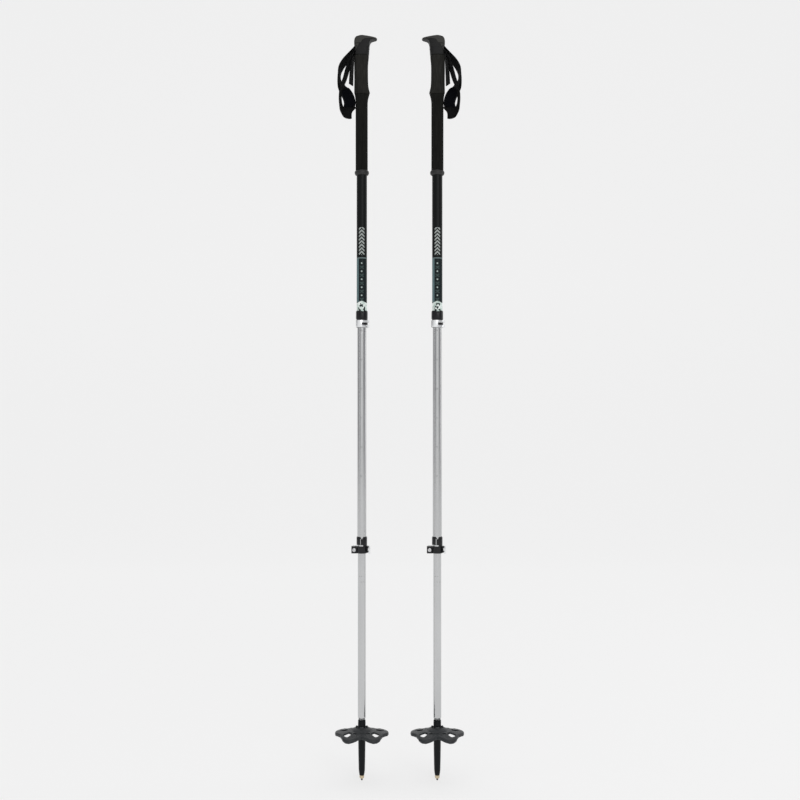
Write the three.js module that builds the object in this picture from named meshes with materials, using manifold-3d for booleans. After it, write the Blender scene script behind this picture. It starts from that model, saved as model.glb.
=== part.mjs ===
// A pair of telescoping trekking poles, standing upright side by side.
// Millimetres, +Z up, origin on the floor midway between the two tips.
// +X runs from the left pole to the right one, and -Y is the front.
import * as THREE from 'three';
import { mergeVertices } from 'three/addons/utils/BufferGeometryUtils.js';
import Module from 'manifold-3d';

const wasm = await Module();
wasm.setup();

// ---------------------------------------------------------------- driving dimensions
const POLE_SPACING = 132;
const GAP = 0.3;                 // clearance between neighbouring pieces
const TUBE_SIDES = 24;
const SMALL_SIDES = 12;
const LOCK_SIDES = 20;

const UPPER_RADIUS = 9;          // three tubes, 18, 16 and 14 mm across
const MIDDLE_RADIUS = 8;
const LOWER_RADIUS = 7;
const TUBE_WALL = 0.6;

const POLE_TOP = 1300;
const HEAD_BOTTOM = 1267;
const FOAM_BOTTOM = 1199;
const EXTENSION_BOTTOM = 1067;
const FOAM_RING_BOTTOM = 1058;
const UPPER_LOCK_BOTTOM = 791.7;
const LOWER_LOCK_BOTTOM = 397;
const MIDDLE_SHAFT_TOP = 930;
const LOWER_SHAFT_TOP = 512;
const FERRULE_TOP = 106;
const FERRULE_BOTTOM = 9;
const BASKET_TOP = 95;
const INSERT_BOTTOM = 3.5;

const HOOK_REACH = 27;           // nose of the head's hook, from the pole's axis
const STRAP_WIDTH = 20;
const STRAP_THICKNESS = 1.6;
const STRAP_PIN = { x: -9.3, z: 1281, radius: 1.25 };

const BAND_HEIGHT = 11.8;        // lock: clamp band, slot above it, sleeve above that
const BAND_SLOT = 2.8;
const SLEEVE_TOP = 29.3;
const SHAFT_SEAT = 15.4;
const LEVER_HEIGHT = 12.4;
const LEVER_RADIUS = 12.1;       // centreline of the lever's curved bar
const LEVER_HALF = 1.3;
const SCREW_X = 13.4;            // tension screw, across the two ears
const SCREW_RADIUS = 1.0;
const LEVER_PIN_Y = -8.0;
const LEVER_PIN_RADIUS = 2.0;
const LEVER_ROOT = 3.4;
const EAR_REACH = 18.2;
const BOSS_RADIUS = 11;          // rest for the lever's free end
const EAR_HALF = 4.2;
const LEVER_SLOT = 4.5;

const BASKET_RADIUS = 47;
const BASKET_DROOP = 8;

// ---------------------------------------------------------------- materials
const paint = (color, roughness, metalness = 0) =>
  new THREE.MeshStandardMaterial({ color, roughness, metalness });
const MATERIALS = {
  headPlastic: paint('#3a3a38', 0.62),
  capRubber: paint('#74736d', 0.75),
  foam: paint('#34342e', 0.95),
  ringRubber: paint('#202020', 0.6),
  webbing: paint('#16171a', 0.9),
  lining: paint('#14161c', 0.85),
  steel: paint('#b9bbbe', 0.35, 1),
  blackTube: paint('#121c1c', 0.38, 0.6),
  silverTube: paint('#b4b6b8', 0.34, 1),
  lockPlastic: paint('#1b1d22', 0.5),
  lever: paint('#d6d8da', 0.28, 1),
  plugPlastic: paint('#2a2b2d', 0.6),
  tipPlastic: paint('#12161c', 0.35),
  basketPlastic: paint('#33363a', 0.6),
  brass: paint('#a98b5c', 0.45, 0.8),
  carbide: paint('#4a4a4c', 0.4, 1),
};

// ---------------------------------------------------------------- solids
const radians = (degrees) => (degrees * Math.PI) / 180;
const polar = (radius, degrees) => [
  radius * Math.cos(radians(degrees)),
  radius * Math.sin(radians(degrees)),
];

// One closed body: shared corners merged, empty triangles dropped, faces turned outward.
function closed(geometry) {
  const bare = new THREE.BufferGeometry();
  bare.setAttribute('position', geometry.getAttribute('position').clone());
  if (geometry.index) bare.setIndex(geometry.index.clone());
  const merged = mergeVertices(bare, 1e-4);
  const position = merged.getAttribute('position');
  const corner = (i) => new THREE.Vector3().fromBufferAttribute(position, i);
  const kept = [];
  let volume = 0;
  for (let i = 0; i < merged.index.count; i += 3) {
    const [a, b, c] = [0, 1, 2].map((k) => merged.index.getX(i + k));
    if (a === b || b === c || c === a) continue;
    kept.push([a, b, c]);
    volume += corner(a).dot(corner(b).cross(corner(c)));
  }
  merged.setIndex(kept.flatMap(([a, b, c]) => (volume > 0 ? [a, b, c] : [a, c, b])));
  return merged;
}

function toManifold(geometry) {
  const body = closed(geometry);
  return new wasm.Manifold(new wasm.Mesh({
    numProp: 3,
    vertProperties: new Float32Array(body.getAttribute('position').array),
    triVerts: new Uint32Array(body.index.array),
  }));
}

function toGeometry(manifold) {
  const mesh = manifold.getMesh();
  const geometry = new THREE.BufferGeometry();
  geometry.setAttribute('position', new THREE.BufferAttribute(mesh.vertProperties, 3));
  geometry.setIndex(new THREE.BufferAttribute(mesh.triVerts, 1));
  return geometry;
}

function combine(operation, first, rest) {
  const result = rest.reduce((sum, next) => sum[operation](toManifold(next)), toManifold(first));
  return toGeometry(result);
}
const join = (first, ...rest) => combine('add', first, rest);
const cut = (first, ...rest) => combine('subtract', first, rest);
const overlap = (first, ...rest) => combine('intersect', first, rest);

// Solid of revolution about Z from [radius, z] corners.
function lathe(profile, sides = TUBE_SIDES) {
  const points = profile.map(([radius, z]) => new THREE.Vector2(radius, z));
  return new THREE.LatheGeometry(points, sides).rotateX(Math.PI / 2);
}

const rod = (radius, bottom, top, sides = TUBE_SIDES) =>
  lathe([[0, bottom], [radius, bottom], [radius, top], [0, top]], sides);

const tube = (inner, outer, bottom, top, sides = TUBE_SIDES) =>
  lathe([[inner, bottom], [outer, bottom], [outer, top], [inner, top], [inner, bottom]], sides);

const shapeOf = (corners) => new THREE.Shape(corners.map(([x, y]) => new THREE.Vector2(x, y)));

// Outline in X and Y, raised from bottom to top.
function plate(corners, bottom, top) {
  const geometry = new THREE.ExtrudeGeometry(shapeOf(corners), {
    depth: top - bottom,
    bevelEnabled: false,
  });
  return geometry.translate(0, 0, bottom);
}

// Outline in X and Z, from one Y to another.
function slab(corners, near, far) {
  const geometry = plate(corners, near, far);
  return geometry.rotateX(Math.PI / 2).scale(1, -1, 1);
}

const block = (x, y, z) =>
  new THREE.BoxGeometry(x[1] - x[0], y[1] - y[0], z[1] - z[0])
    .translate((x[0] + x[1]) / 2, (y[0] + y[1]) / 2, (z[0] + z[1]) / 2);

const sector = (radius, from, to, bottom, top, steps = 8) => {
  const arc = Array.from({ length: steps + 1 }, (_, i) => polar(radius, from + ((to - from) * i) / steps));
  return plate([[0, 0], ...arc], bottom, top);
};

// Skin over rings of points, all with the same count, closed by a fan at each end.
function skin(rings) {
  const count = rings[0].length;
  const middle = (ring) => ring.reduce((sum, p) => sum.add(p), new THREE.Vector3()).divideScalar(count);
  const points = [...rings.flat(), middle(rings[0]), middle(rings.at(-1))];
  const index = [];
  const last = (rings.length - 1) * count;
  for (let side = 0; side < count; side++) {
    const next = (side + 1) % count;
    for (let row = 0; row < last; row += count) {
      index.push(row + side, row + next, row + count + side);
      index.push(row + next, row + count + next, row + count + side);
    }
    index.push(rings.length * count, next, side);
    index.push(rings.length * count + 1, last + side, last + next);
  }
  const geometry = new THREE.BufferGeometry().setFromPoints(points);
  geometry.setIndex(index);
  return geometry;
}

// Grip section: an oval with its own rear and front reach, softly squared.
function gripRing({ z, rear, front, half, square = 2.3 }, sides = 24) {
  const centre = (front - rear) / 2;
  const reach = (front + rear) / 2;
  return Array.from({ length: sides }, (_, i) => {
    const angle = (2 * Math.PI * i) / sides;
    const soft = (v) => Math.sign(v) * Math.abs(v) ** (2 / square);
    return new THREE.Vector3(
      centre + reach * soft(Math.cos(angle)),
      half * soft(Math.sin(angle)),
      z,
    );
  });
}
const gripSolid = (stations) => skin(stations.map((station) => gripRing(station)));

// ---------------------------------------------------------------- grip
const HOOK_SIDE = [               // hook plate and dome, seen from the side
  [-9, POLE_TOP - 2.2], [-3, POLE_TOP - 0.3], [0, POLE_TOP], [14, POLE_TOP - 1.6],
  [HOOK_REACH - 2, POLE_TOP - 2.9], [HOOK_REACH, POLE_TOP - 4], [HOOK_REACH - 1.5, POLE_TOP - 5.4],
  [19, POLE_TOP - 5.8], [15.4, POLE_TOP - 7.6], [13.4, POLE_TOP - 14], [13.2, POLE_TOP - 20],
  [-13.2, POLE_TOP - 20], [-12.4, POLE_TOP - 19], [-13.3, POLE_TOP - 14], [-13.3, POLE_TOP - 8],
  [-11.8, POLE_TOP - 4.4],
];
const HOOK_TOP = [                // the same, seen from above
  [-13.4, -6], [-12.6, -10], [-10, -12.6], [-4, -13.6], [4, -13.7], [12, -12.6], [20, -10],
  [25, -6.6], [HOOK_REACH, -2.4], [HOOK_REACH, 2.4], [25, 6.6], [20, 10], [12, 12.6],
  [4, 13.7], [-4, 13.6], [-10, 12.6], [-12.6, 10], [-13.4, 6],
];
const NECK = [
  { z: HEAD_BOTTOM, rear: 13.2, front: 12.4, half: 12.6, square: 2.6 },
  { z: 1272, rear: 12.8, front: 12.8, half: 13, square: 3.4 },
  { z: 1281, rear: 12.5, front: 13.2, half: 13.4, square: 4 },
  { z: 1284, rear: 12.9, front: 13.2, half: 13.5, square: 4 },
];
const FOAM = [
  { z: FOAM_BOTTOM + GAP, rear: 12.6, front: 13.2, half: 12.9 },
  { z: 1202, rear: 13.3, front: 14, half: 13.4 },
  { z: 1206, rear: 13.3, front: 13, half: 13 },
  { z: 1214, rear: 13.3, front: 11.4, half: 12.2 },
  { z: 1226, rear: 13.3, front: 10.9, half: 12 },
  { z: 1250, rear: 13.3, front: 10.9, half: 12.2 },
  { z: HEAD_BOTTOM - GAP, rear: 13.2, front: 12.3, half: 12.5, square: 2.5 },
];
const EXTENSION = [
  { z: EXTENSION_BOTTOM + GAP, rear: 10.85, front: 10.3, half: 10.7 },
  { z: 1150, rear: 10.85, front: 10.3, half: 10.7 },
  { z: 1186, rear: 10.9, front: 10.4, half: 10.9 },
  { z: 1195, rear: 11.6, front: 11.9, half: 11.9 },
  { z: FOAM_BOTTOM, rear: 12.4, front: 12.9, half: 12.7 },
];
const FOAM_BORE = UPPER_RADIUS + GAP;
const EYE_HALF = STRAP_WIDTH / 2 + 0.6;   // half width of the strap's channel
const EYE_RADIUS = STRAP_PIN.radius + GAP + STRAP_THICKNESS;
const WEDGE = [[-14, 1285.6], [-3.4, 1286.2], [-12.2, 1271.4]];

function gripPieces() {
  const whole = join(
    gripSolid(NECK),
    overlap(slab(HOOK_SIDE, -20, 20), plate(HOOK_TOP, POLE_TOP - 22, POLE_TOP + 1)),
  );
  // The softer cap takes the dome and the hook plate. The parting line steps down at the rear.
  const parting = (rise) => [
    [-20, 1286.3 + rise], [-2, 1287 + rise], [2, 1292.6 + rise], [12, 1295 + rise],
    [40, 1295 + rise],
  ];
  const above = slab([...parting(GAP / 2), [40, 1310], [-20, 1310]], -20, 20);
  const below = slab([...parting(-GAP / 2), [40, 1200], [-20, 1200]], -20, 20);
  const channel = block(
    [-20, STRAP_PIN.x + EYE_RADIUS + 0.4],
    [-EYE_HALF, EYE_HALF],
    [1271, STRAP_PIN.z + EYE_RADIUS + 0.6],
  );
  const pinBore = rod(STRAP_PIN.radius + GAP, -12, 12, SMALL_SIDES)
    .rotateX(Math.PI / 2)
    .translate(STRAP_PIN.x, 0, STRAP_PIN.z);
  const wedgeSeat = slab(WEDGE, -20, 20);
  const wedge = slab([[-13.9, 1285.2], [-4.3, 1285.7], [-12, 1272.2]], -20, 20);
  const spigot = rod(UPPER_RADIUS - TUBE_WALL - GAP, HEAD_BOTTOM - 27, HEAD_BOTTOM + 2);
  return {
    grip_head: [join(cut(overlap(whole, below), wedgeSeat, channel), spigot), MATERIALS.headPlastic],
    pommel_cap: [overlap(whole, above), MATERIALS.capRubber],
    strap_wedge: [cut(overlap(whole, wedge), channel, pinBore), MATERIALS.capRubber],
    strap_pin: [
      rod(STRAP_PIN.radius, -EYE_HALF - 1.2, EYE_HALF + 1.2, SMALL_SIDES)
        .rotateX(Math.PI / 2)
        .translate(STRAP_PIN.x, 0, STRAP_PIN.z),
      MATERIALS.steel,
    ],
    grip_foam: [cut(gripSolid(FOAM), rod(FOAM_BORE, 1190, 1280)), MATERIALS.foam],
    extension_foam: [cut(gripSolid(EXTENSION), rod(FOAM_BORE, 1060, 1210)), MATERIALS.foam],
    foam_end_ring: [
      lathe([
        [FOAM_BORE, FOAM_RING_BOTTOM], [11, FOAM_RING_BOTTOM], [12.4, 1061], [12.5, 1063.5],
        [11.4, 1066], [10.8, EXTENSION_BOTTOM], [FOAM_BORE, EXTENSION_BOTTOM],
        [FOAM_BORE, FOAM_RING_BOTTOM],
      ]),
      MATERIALS.ringRubber,
    ],
  };
}

// ---------------------------------------------------------------- wrist strap
// The webbing leaves its pin, runs outward and down, turns its face to the front as the padded
// band, folds forward at the bottom, climbs as the near strand and returns to the pin.
// Each row is the centre of the webbing and the direction of its width.
const STRAP_ROUTE = [
  { at: [-15.6, 0, 1277.4], wide: [0, 1, 0] },
  { at: [-22, 0.5, 1269], wide: [0.12, 1, -0.1] },
  { at: [-30, 2, 1258], wide: [0.32, 1, -0.24] },
  { at: [-36.5, 3.6, 1247.5], wide: [0.3, 1, -0.16] },
  { at: [-39.6, 5, 1236], wide: [0.16, 1, 0] },
  { at: [-39.4, 6.5, 1225], wide: [0.3, 1, 0.12] },
  { at: [-35.6, 8.4, 1215], wide: [0.75, 0.9, 0.4] },
  { at: [-29.5, 8, 1206], wide: [0.8, 0.35, 0.55] },
  { at: [-24, 7.6, 1196.5], wide: [0.8, 0.05, 0.5] },
  { at: [-21.2, 6.6, 1186], wide: [0.84, 0, 0.45] },
  { at: [-21.9, 4.6, 1176.5], wide: [0.68, 0, 0.68] },
  { at: [-17.6, 0.4, 1169.6], wide: [0.42, 0, 0.86] },
  { at: [-19.8, -3.6, 1166.2], wide: [0.3, 0, 0.9] },
  { at: [-25.4, -5.4, 1166.6], wide: [0.35, -0.1, 0.85] },
  { at: [-32.8, -7, 1171], wide: [0.38, 0.8, 0.4] },
  { at: [-36.2, -8.4, 1180], wide: [0.22, 1, 0.1] },
  { at: [-37.4, -9.4, 1191], wide: [0.15, 1, 0.02] },
  { at: [-36.6, -9.4, 1203], wide: [0.12, 1, -0.03] },
  { at: [-33.6, -8.6, 1214], wide: [0.14, 1, -0.05] },
  { at: [-29.4, -6.6, 1226], wide: [0.2, 1, -0.07] },
  { at: [-25.6, -4, 1240], wide: [0.24, 1, -0.08] },
  { at: [-21.2, -2, 1255], wide: [0.16, 1, -0.05] },
  { at: [-16.4, 0, 1267], wide: [0.04, 1, -0.02] },
  { at: [-12.2, 0, 1274.6], wide: [0, 1, 0] },
];
const EYE_TURN = [-60, -20, 20, 60, 100, 130];
const STEPS_PER_POINT = 3;
const PADDED = [7, 9.4];         // rows of the route that carry the padding
const PADDING_THICKNESS = 1.6;
const PADDING_GAP = 1.2;         // the webbing's facets twist between its rings
const TAIL_ROUTE = [
  { at: [-13.6, 0, 1275.2], wide: [0, 1, 0] },
  { at: [-16.4, 4, 1262], wide: [0.2, 1, 0] },
  { at: [-18, 7.6, 1244], wide: [0.28, 1, 0] },
  { at: [-19.2, 8.4, 1218.5], wide: [0.33, 1, 0] },
];

// Rectangular sections along a route, offset off its centre along the face's normal.
function webbingRings(route, { isLoop, width, thickness, places, offset = 0 }) {
  const vectors = (key) => route.map((row) => new THREE.Vector3(...row[key]));
  const centre = new THREE.CatmullRomCurve3(vectors('at'), isLoop, 'centripetal');
  const across = new THREE.CatmullRomCurve3(vectors('wide'), isLoop, 'catmullrom');
  return places.map((t) => {
    const along = centre.getTangent(t);
    const wide = across.getPoint(t);
    wide.addScaledVector(along, -wide.dot(along)).normalize();
    const face = new THREE.Vector3().crossVectors(along, wide);
    const middle = centre.getPoint(t).addScaledVector(face, offset);
    return [[-1, -1], [1, -1], [1, 1], [-1, 1]].map(([u, v]) =>
      middle.clone().addScaledVector(wide, (u * width) / 2).addScaledVector(face, (v * thickness) / 2));
  });
}

// Rings joined end to end into an endless band.
function endlessSkin(rings) {
  const count = rings[0].length;
  const geometry = new THREE.BufferGeometry().setFromPoints(rings.flat());
  const index = [];
  rings.forEach((_, row) => {
    const here = row * count;
    const there = ((row + 1) % rings.length) * count;
    for (let side = 0; side < count; side++) {
      const next = (side + 1) % count;
      index.push(here + side, here + next, there + side);
      index.push(here + next, there + next, there + side);
    }
  });
  geometry.setIndex(index);
  return geometry;
}

function strapPieces() {
  const eyeCentre = EYE_RADIUS - STRAP_THICKNESS / 2;
  const eye = EYE_TURN.map((degrees) => {
    const [x, z] = polar(eyeCentre, degrees);
    return { at: [STRAP_PIN.x + x, 0, STRAP_PIN.z + z], wide: [0, 1, 0] };
  });
  const route = [...STRAP_ROUTE, ...eye];
  const steps = route.length * STEPS_PER_POINT;
  const places = Array.from({ length: steps }, (_, i) => i / steps);
  const padded = places.filter((t) => t * route.length >= PADDED[0] && t * route.length <= PADDED[1]);
  const loop = endlessSkin(webbingRings(route, {
    isLoop: true, width: STRAP_WIDTH, thickness: STRAP_THICKNESS, places,
  }));
  const tail = skin(webbingRings(TAIL_ROUTE, {
    isLoop: false, width: STRAP_WIDTH - 1, thickness: STRAP_THICKNESS - 0.2,
    places: Array.from({ length: 9 }, (_, i) => i / 8),
  }));
  const padding = skin(webbingRings(route, {
    isLoop: true, width: STRAP_WIDTH - 1, thickness: PADDING_THICKNESS, places: padded,
    offset: (STRAP_THICKNESS + PADDING_THICKNESS) / 2 + PADDING_GAP,
  }));
  return {
    wrist_strap: [join(loop, tail), MATERIALS.webbing],
    strap_padding: [padding, MATERIALS.lining],
  };
}

// ---------------------------------------------------------------- lever lock
// Built with its ears toward +X: the lever runs clockwise from there, seen from above.
function lockPieces({ outerRadius, innerRadius, bottom, turn, notchTurn }) {
  const bore = innerRadius + 0.35;
  const bandRadius = innerRadius + 2.3;
  const sleeveRadius = outerRadius + 1.25;
  const seat = bottom + SHAFT_SEAT;
  const top = bottom + SLEEVE_TOP;
  const bandTop = bottom + BAND_HEIGHT;
  const body = join(
    lathe([
      [bore, bottom], [bandRadius - 0.6, bottom], [bandRadius, bottom + 0.8], [bandRadius, bandTop],
      [sleeveRadius - 0.4, bandTop + BAND_SLOT - 0.6], [sleeveRadius, bandTop + BAND_SLOT],
      [sleeveRadius, top - 1.4], [sleeveRadius - 0.9, top], [outerRadius + GAP, top],
      [outerRadius + GAP, seat], [bore, seat], [bore, bottom],
    ], LOCK_SIDES),
    plate(earOutline(bandRadius), bottom, bottom + LEVER_HEIGHT),
    cut(sector(BOSS_RADIUS, 158, 202, bottom + 1, bandTop - 0.4), rod(bandRadius - 0.5, bottom, top)),
  );
  const reach = EAR_REACH + 2;
  const screwBore = rod(SCREW_RADIUS + GAP, -reach, reach, SMALL_SIDES)
    .rotateX(Math.PI / 2)
    .translate(SCREW_X, 0, bottom + LEVER_HEIGHT / 2);
  const split = block([bore - 1, reach], [-0.8, 0.8], [bottom - 1, bandTop + 1]);
  const bandSlot = sector(reach, -58, 112, bandTop + 0.4, bandTop + BAND_SLOT + 0.4, 14);
  const sleeveSlit = block([0, reach], [-0.9, 0.9], [bandTop + 1, top - 3.4]).rotateZ(radians(74));
  const notches = [notchTurn - turn, notchTurn - turn + 180].map((degrees) =>
    slab([[-3.8, top + 1], [3.8, top + 1], [0, top - 4.4]], outerRadius - 3, reach)
      .rotateZ(radians(degrees - 90)));
  const collar = cut(body, split, screwBore, bandSlot, sleeveSlit, ...notches);

  const middle = bottom + LEVER_HEIGHT / 2;
  const pinBore = rod(LEVER_PIN_RADIUS + GAP, bottom - 2, top, SMALL_SIDES)
    .translate(SCREW_X, LEVER_PIN_Y, 0);
  const slotOutline = [[2, -3.5], [40, -3.5], [40, -40], [-40, -40], polar(40, -172), [0, 0]];
  const slot = plate(slotOutline, middle - LEVER_SLOT / 2, middle + LEVER_SLOT / 2);
  const lever = cut(plate(leverOutline(), bottom, bottom + LEVER_HEIGHT), pinBore, slot);

  const screwHole = rod(SCREW_RADIUS + GAP, -6, 6, SMALL_SIDES)
    .rotateX(Math.PI / 2)
    .translate(SCREW_X, LEVER_PIN_Y, middle);
  const pin = cut(
    rod(LEVER_PIN_RADIUS, bottom + 0.6, bottom + LEVER_HEIGHT - 0.6, SMALL_SIDES)
      .translate(SCREW_X, LEVER_PIN_Y, 0),
    screwHole,
  );
  const headFace = EAR_HALF + GAP;
  const screw = cut(
    lathe([
      [0, LEVER_PIN_Y - 0.6], [SCREW_RADIUS, LEVER_PIN_Y - 0.6], [SCREW_RADIUS, headFace], [3.4, headFace],
      [3.4, headFace + 1.2], [2.7, headFace + 2.4], [0, headFace + 2.4],
    ], SMALL_SIDES),
    rod(1.5, headFace + 0.8, headFace + 4, 6),
  ).rotateX(-Math.PI / 2).translate(SCREW_X, 0, middle);
  return {
    lock_collar: [collar, MATERIALS.lockPlastic],
    lock_lever: [lever, MATERIALS.lever],
    lock_pin: [pin, MATERIALS.steel],
    lock_screw: [screw, MATERIALS.steel],
  };
}

// Both ears in one outline, rounded at the outer end.
function earOutline(bandRadius) {
  return [
    [bandRadius - 1.3, -EAR_HALF], [EAR_REACH - 1.6, -EAR_HALF], [EAR_REACH - 0.4, -EAR_HALF + 0.5],
    [EAR_REACH, -EAR_HALF + 1.6], [EAR_REACH, EAR_HALF - 1.6], [EAR_REACH - 0.4, EAR_HALF - 0.5],
    [EAR_REACH - 1.6, EAR_HALF], [bandRadius - 1.3, EAR_HALF],
  ];
}

// Lever seen from above: a round root about the pin, then a bar that wraps half the band
// and lifts away at its free end.
function leverOutline() {
  const bar = [
    { angle: -52, radius: LEVER_RADIUS + 0.4 }, { angle: -75, radius: LEVER_RADIUS },
    { angle: -95, radius: LEVER_RADIUS }, { angle: -115, radius: LEVER_RADIUS },
    { angle: -135, radius: LEVER_RADIUS }, { angle: -152, radius: LEVER_RADIUS + 0.5 },
    { angle: -168, radius: LEVER_RADIUS + 1.1 }, { angle: -184, radius: LEVER_RADIUS + 1.9 },
    { angle: -200, radius: LEVER_RADIUS + 2.7 }, { angle: -214, radius: LEVER_RADIUS + 3.4 },
  ];
  const inside = bar.map(({ angle, radius }) => polar(radius - LEVER_HALF, angle));
  const outside = bar.map(({ angle, radius }) => polar(radius + LEVER_HALF, angle)).reverse();
  const tip = polar(LEVER_RADIUS + 3.8, -218);
  const rootArc = [-110, -70, -30, 10, 50, 90].map((degrees) => {
    const [x, y] = polar(LEVER_ROOT, degrees);
    return [SCREW_X + x, LEVER_PIN_Y + y];
  });
  return [...inside, tip, ...outside, ...rootArc];
}

// ---------------------------------------------------------------- tubes and tip
const plugOf = (innerRadius, neck, top) =>
  lathe([
    [0, top - 34], [neck - TUBE_WALL - GAP, top - 34], [neck - TUBE_WALL - GAP, top + GAP],
    [innerRadius - 0.25, top + GAP], [innerRadius - 0.25, top + 14], [innerRadius - 1.6, top + 17],
    [0, top + 17],
  ], LOCK_SIDES);

function shaftPieces() {
  const upperBottom = UPPER_LOCK_BOTTOM + SHAFT_SEAT + GAP;
  const middleBottom = LOWER_LOCK_BOTTOM + SHAFT_SEAT + GAP;
  const spigot = 5.3;
  const wall = TUBE_WALL;
  return {
    upper_shaft: [
      tube(UPPER_RADIUS - wall, UPPER_RADIUS, upperBottom, HEAD_BOTTOM - GAP),
      MATERIALS.blackTube,
    ],
    middle_shaft: [
      tube(MIDDLE_RADIUS - wall, MIDDLE_RADIUS, middleBottom, MIDDLE_SHAFT_TOP),
      MATERIALS.silverTube,
    ],
    middle_shaft_plug: [
      plugOf(UPPER_RADIUS - wall, MIDDLE_RADIUS, MIDDLE_SHAFT_TOP), MATERIALS.plugPlastic,
    ],
    // Drawn down at its lower end, where the flex tip is pressed on.
    lower_shaft: [
      lathe([
        [spigot - wall, 62], [spigot, 62], [spigot, FERRULE_TOP - 1], [LOWER_RADIUS, FERRULE_TOP + 5],
        [LOWER_RADIUS, LOWER_SHAFT_TOP], [LOWER_RADIUS - wall, LOWER_SHAFT_TOP],
        [LOWER_RADIUS - wall, FERRULE_TOP + 5], [spigot - wall, FERRULE_TOP - 1],
        [spigot - wall, 62],
      ]),
      MATERIALS.silverTube,
    ],
    lower_shaft_plug: [
      plugOf(MIDDLE_RADIUS - wall, LOWER_RADIUS, LOWER_SHAFT_TOP), MATERIALS.plugPlastic,
    ],
  };
}

function tipPieces() {
  const seat = 61.5;
  return {
    tip_ferrule: [
      lathe([
        [2.6 + GAP, FERRULE_BOTTOM], [4.3, FERRULE_BOTTOM], [5.45, 18], [6.3, 64], [6.3, 92],
        [6.7, 93], [6.7, FERRULE_TOP - 1.2], [6.3, FERRULE_TOP - 0.4],
        [5.3 + GAP, FERRULE_TOP - 1.6], [5.3 + GAP, seat], [2.6 + GAP, seat],
        [2.6 + GAP, FERRULE_BOTTOM],
      ]),
      MATERIALS.tipPlastic,
    ],
    tip_insert: [
      lathe([
        [1.2 + GAP, INSERT_BOTTOM], [3.6, INSERT_BOTTOM], [4.1, 5], [4.1, FERRULE_BOTTOM - GAP],
        [2.6, FERRULE_BOTTOM - GAP], [2.6, 22], [1.2 + GAP, 22], [1.2 + GAP, INSERT_BOTTOM],
      ], SMALL_SIDES),
      MATERIALS.brass,
    ],
    carbide_tip: [
      lathe([
        [0, 0], [1.5, 0], [1.7, INSERT_BOTTOM - GAP], [1.2, INSERT_BOTTOM - GAP], [1.2, 12], [0, 12],
      ], SMALL_SIDES),
      MATERIALS.carbide,
    ],
    basket: [basketSolid(), MATERIALS.basketPlastic],
  };
}

// Outline of one quarter of the basket: a lobe to the side, one toward the front, an open front.
const BASKET_REACH = [
  [0, BASKET_RADIUS], [9, 46.4], [17, 43.4], [27, 41.5], [37, 43], [45, 45.8], [54, 46.8],
  [62, 45.6], [70, 41], [80, 33.5], [90, 30.5],
];
function basketReach(degrees) {
  const folded = degrees % 180;
  const angle = Math.min(folded, 180 - folded);
  const next = BASKET_REACH.findIndex(([corner]) => corner > angle);
  if (next < 0) return BASKET_REACH.at(-1)[1];
  const [[from, near], [to, far]] = [BASKET_REACH[next - 1], BASKET_REACH[next]];
  return near + ((far - near) * (angle - from)) / (to - from);
}

// A dished disc with lobes and four spaces, and a notched hub about the tip's thread.
// The disc droops toward the front and the back.
function basketSolid() {
  const bore = 7;
  const outline = Array.from({ length: 80 }, (_, i) => polar(basketReach(4.5 * i), 4.5 * i));
  const rim = BASKET_RADIUS + 1;
  const dish = lathe([
    [bore + 0.4, 84], [22, 83.4], [34, 81.6], [rim, 79.3], [rim, 84], [36, 86.2], [24, 88.2],
    [17.8, 89], [16.6, 90], [10.5, 93], [bore + 0.4, 93], [bore + 0.4, 84],
  ], 30);
  const corners = dish.getAttribute('position');
  for (let i = 0; i < corners.count; i++) {
    corners.setZ(i, corners.getZ(i) - BASKET_DROOP * (corners.getY(i) / BASKET_RADIUS) ** 2);
  }
  const hub = tube(bore, 9.8, 74, 91.5);
  const merlons = tube(bore, 11, 90, BASKET_TOP);
  const spaces = [41, 139, 221, 319].map((middle) => {
    const spread = [-10, 0, 10];
    const outer = spread.map((step) => polar(39.5 - Math.abs(step) * 0.2, middle + step));
    const inner = spread.map((step) => polar(25.5, middle + step)).reverse();
    return plate([...outer, ...inner], 60, 100);
  });
  const crenels = [45, 135, 225, 315].map((degrees) =>
    block([0, 20], [-4.4, 4.4], [BASKET_TOP - 2, 110]).rotateZ(radians(degrees)));
  return cut(join(overlap(dish, plate(outline, 60, 100)), hub, merlons), ...spaces, ...crenels);
}

// ---------------------------------------------------------------- assembly
function addPieces(group, prefix, pieces, side = 1) {
  for (const [name, [geometry, material]] of Object.entries(pieces)) {
    const mesh = new THREE.Mesh(closed(geometry.clone().scale(side, 1, 1)), material);
    mesh.name = prefix + name;
    group.add(mesh);
  }
}

const LOCKS = {
  upper_: {
    outerRadius: UPPER_RADIUS, innerRadius: MIDDLE_RADIUS, bottom: UPPER_LOCK_BOTTOM,
    turn: 90, notchTurn: -81,
  },
  lower_: {
    outerRadius: MIDDLE_RADIUS, innerRadius: LOWER_RADIUS, bottom: LOWER_LOCK_BOTTOM,
    turn: 180, notchTurn: -88,
  },
};

const poles = new THREE.Group();
const grip = { ...gripPieces(), ...strapPieces() };
const straightPieces = { ...shaftPieces(), ...tipPieces() };
const locks = Object.entries(LOCKS).map(([name, lock]) => [name, lock.turn, lockPieces(lock)]);
for (const [prefix, side] of [['left_', 1], ['right_', -1]]) {
  const pole = new THREE.Group();
  pole.position.x = (-side * POLE_SPACING) / 2;
  addPieces(pole, prefix, grip, side);
  addPieces(pole, prefix, straightPieces);
  for (const [name, turn, pieces] of locks) {
    const lock = new THREE.Group();
    lock.rotation.z = radians(turn);
    addPieces(lock, prefix + name, pieces);
    pole.add(lock);
  }
  poles.add(pole);
}

export default poles;
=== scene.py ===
"""A pair of trekking poles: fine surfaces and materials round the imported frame."""

from math import cos, pi, radians, sin

import bmesh
import bpy
from mathutils import Matrix, Vector


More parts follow.
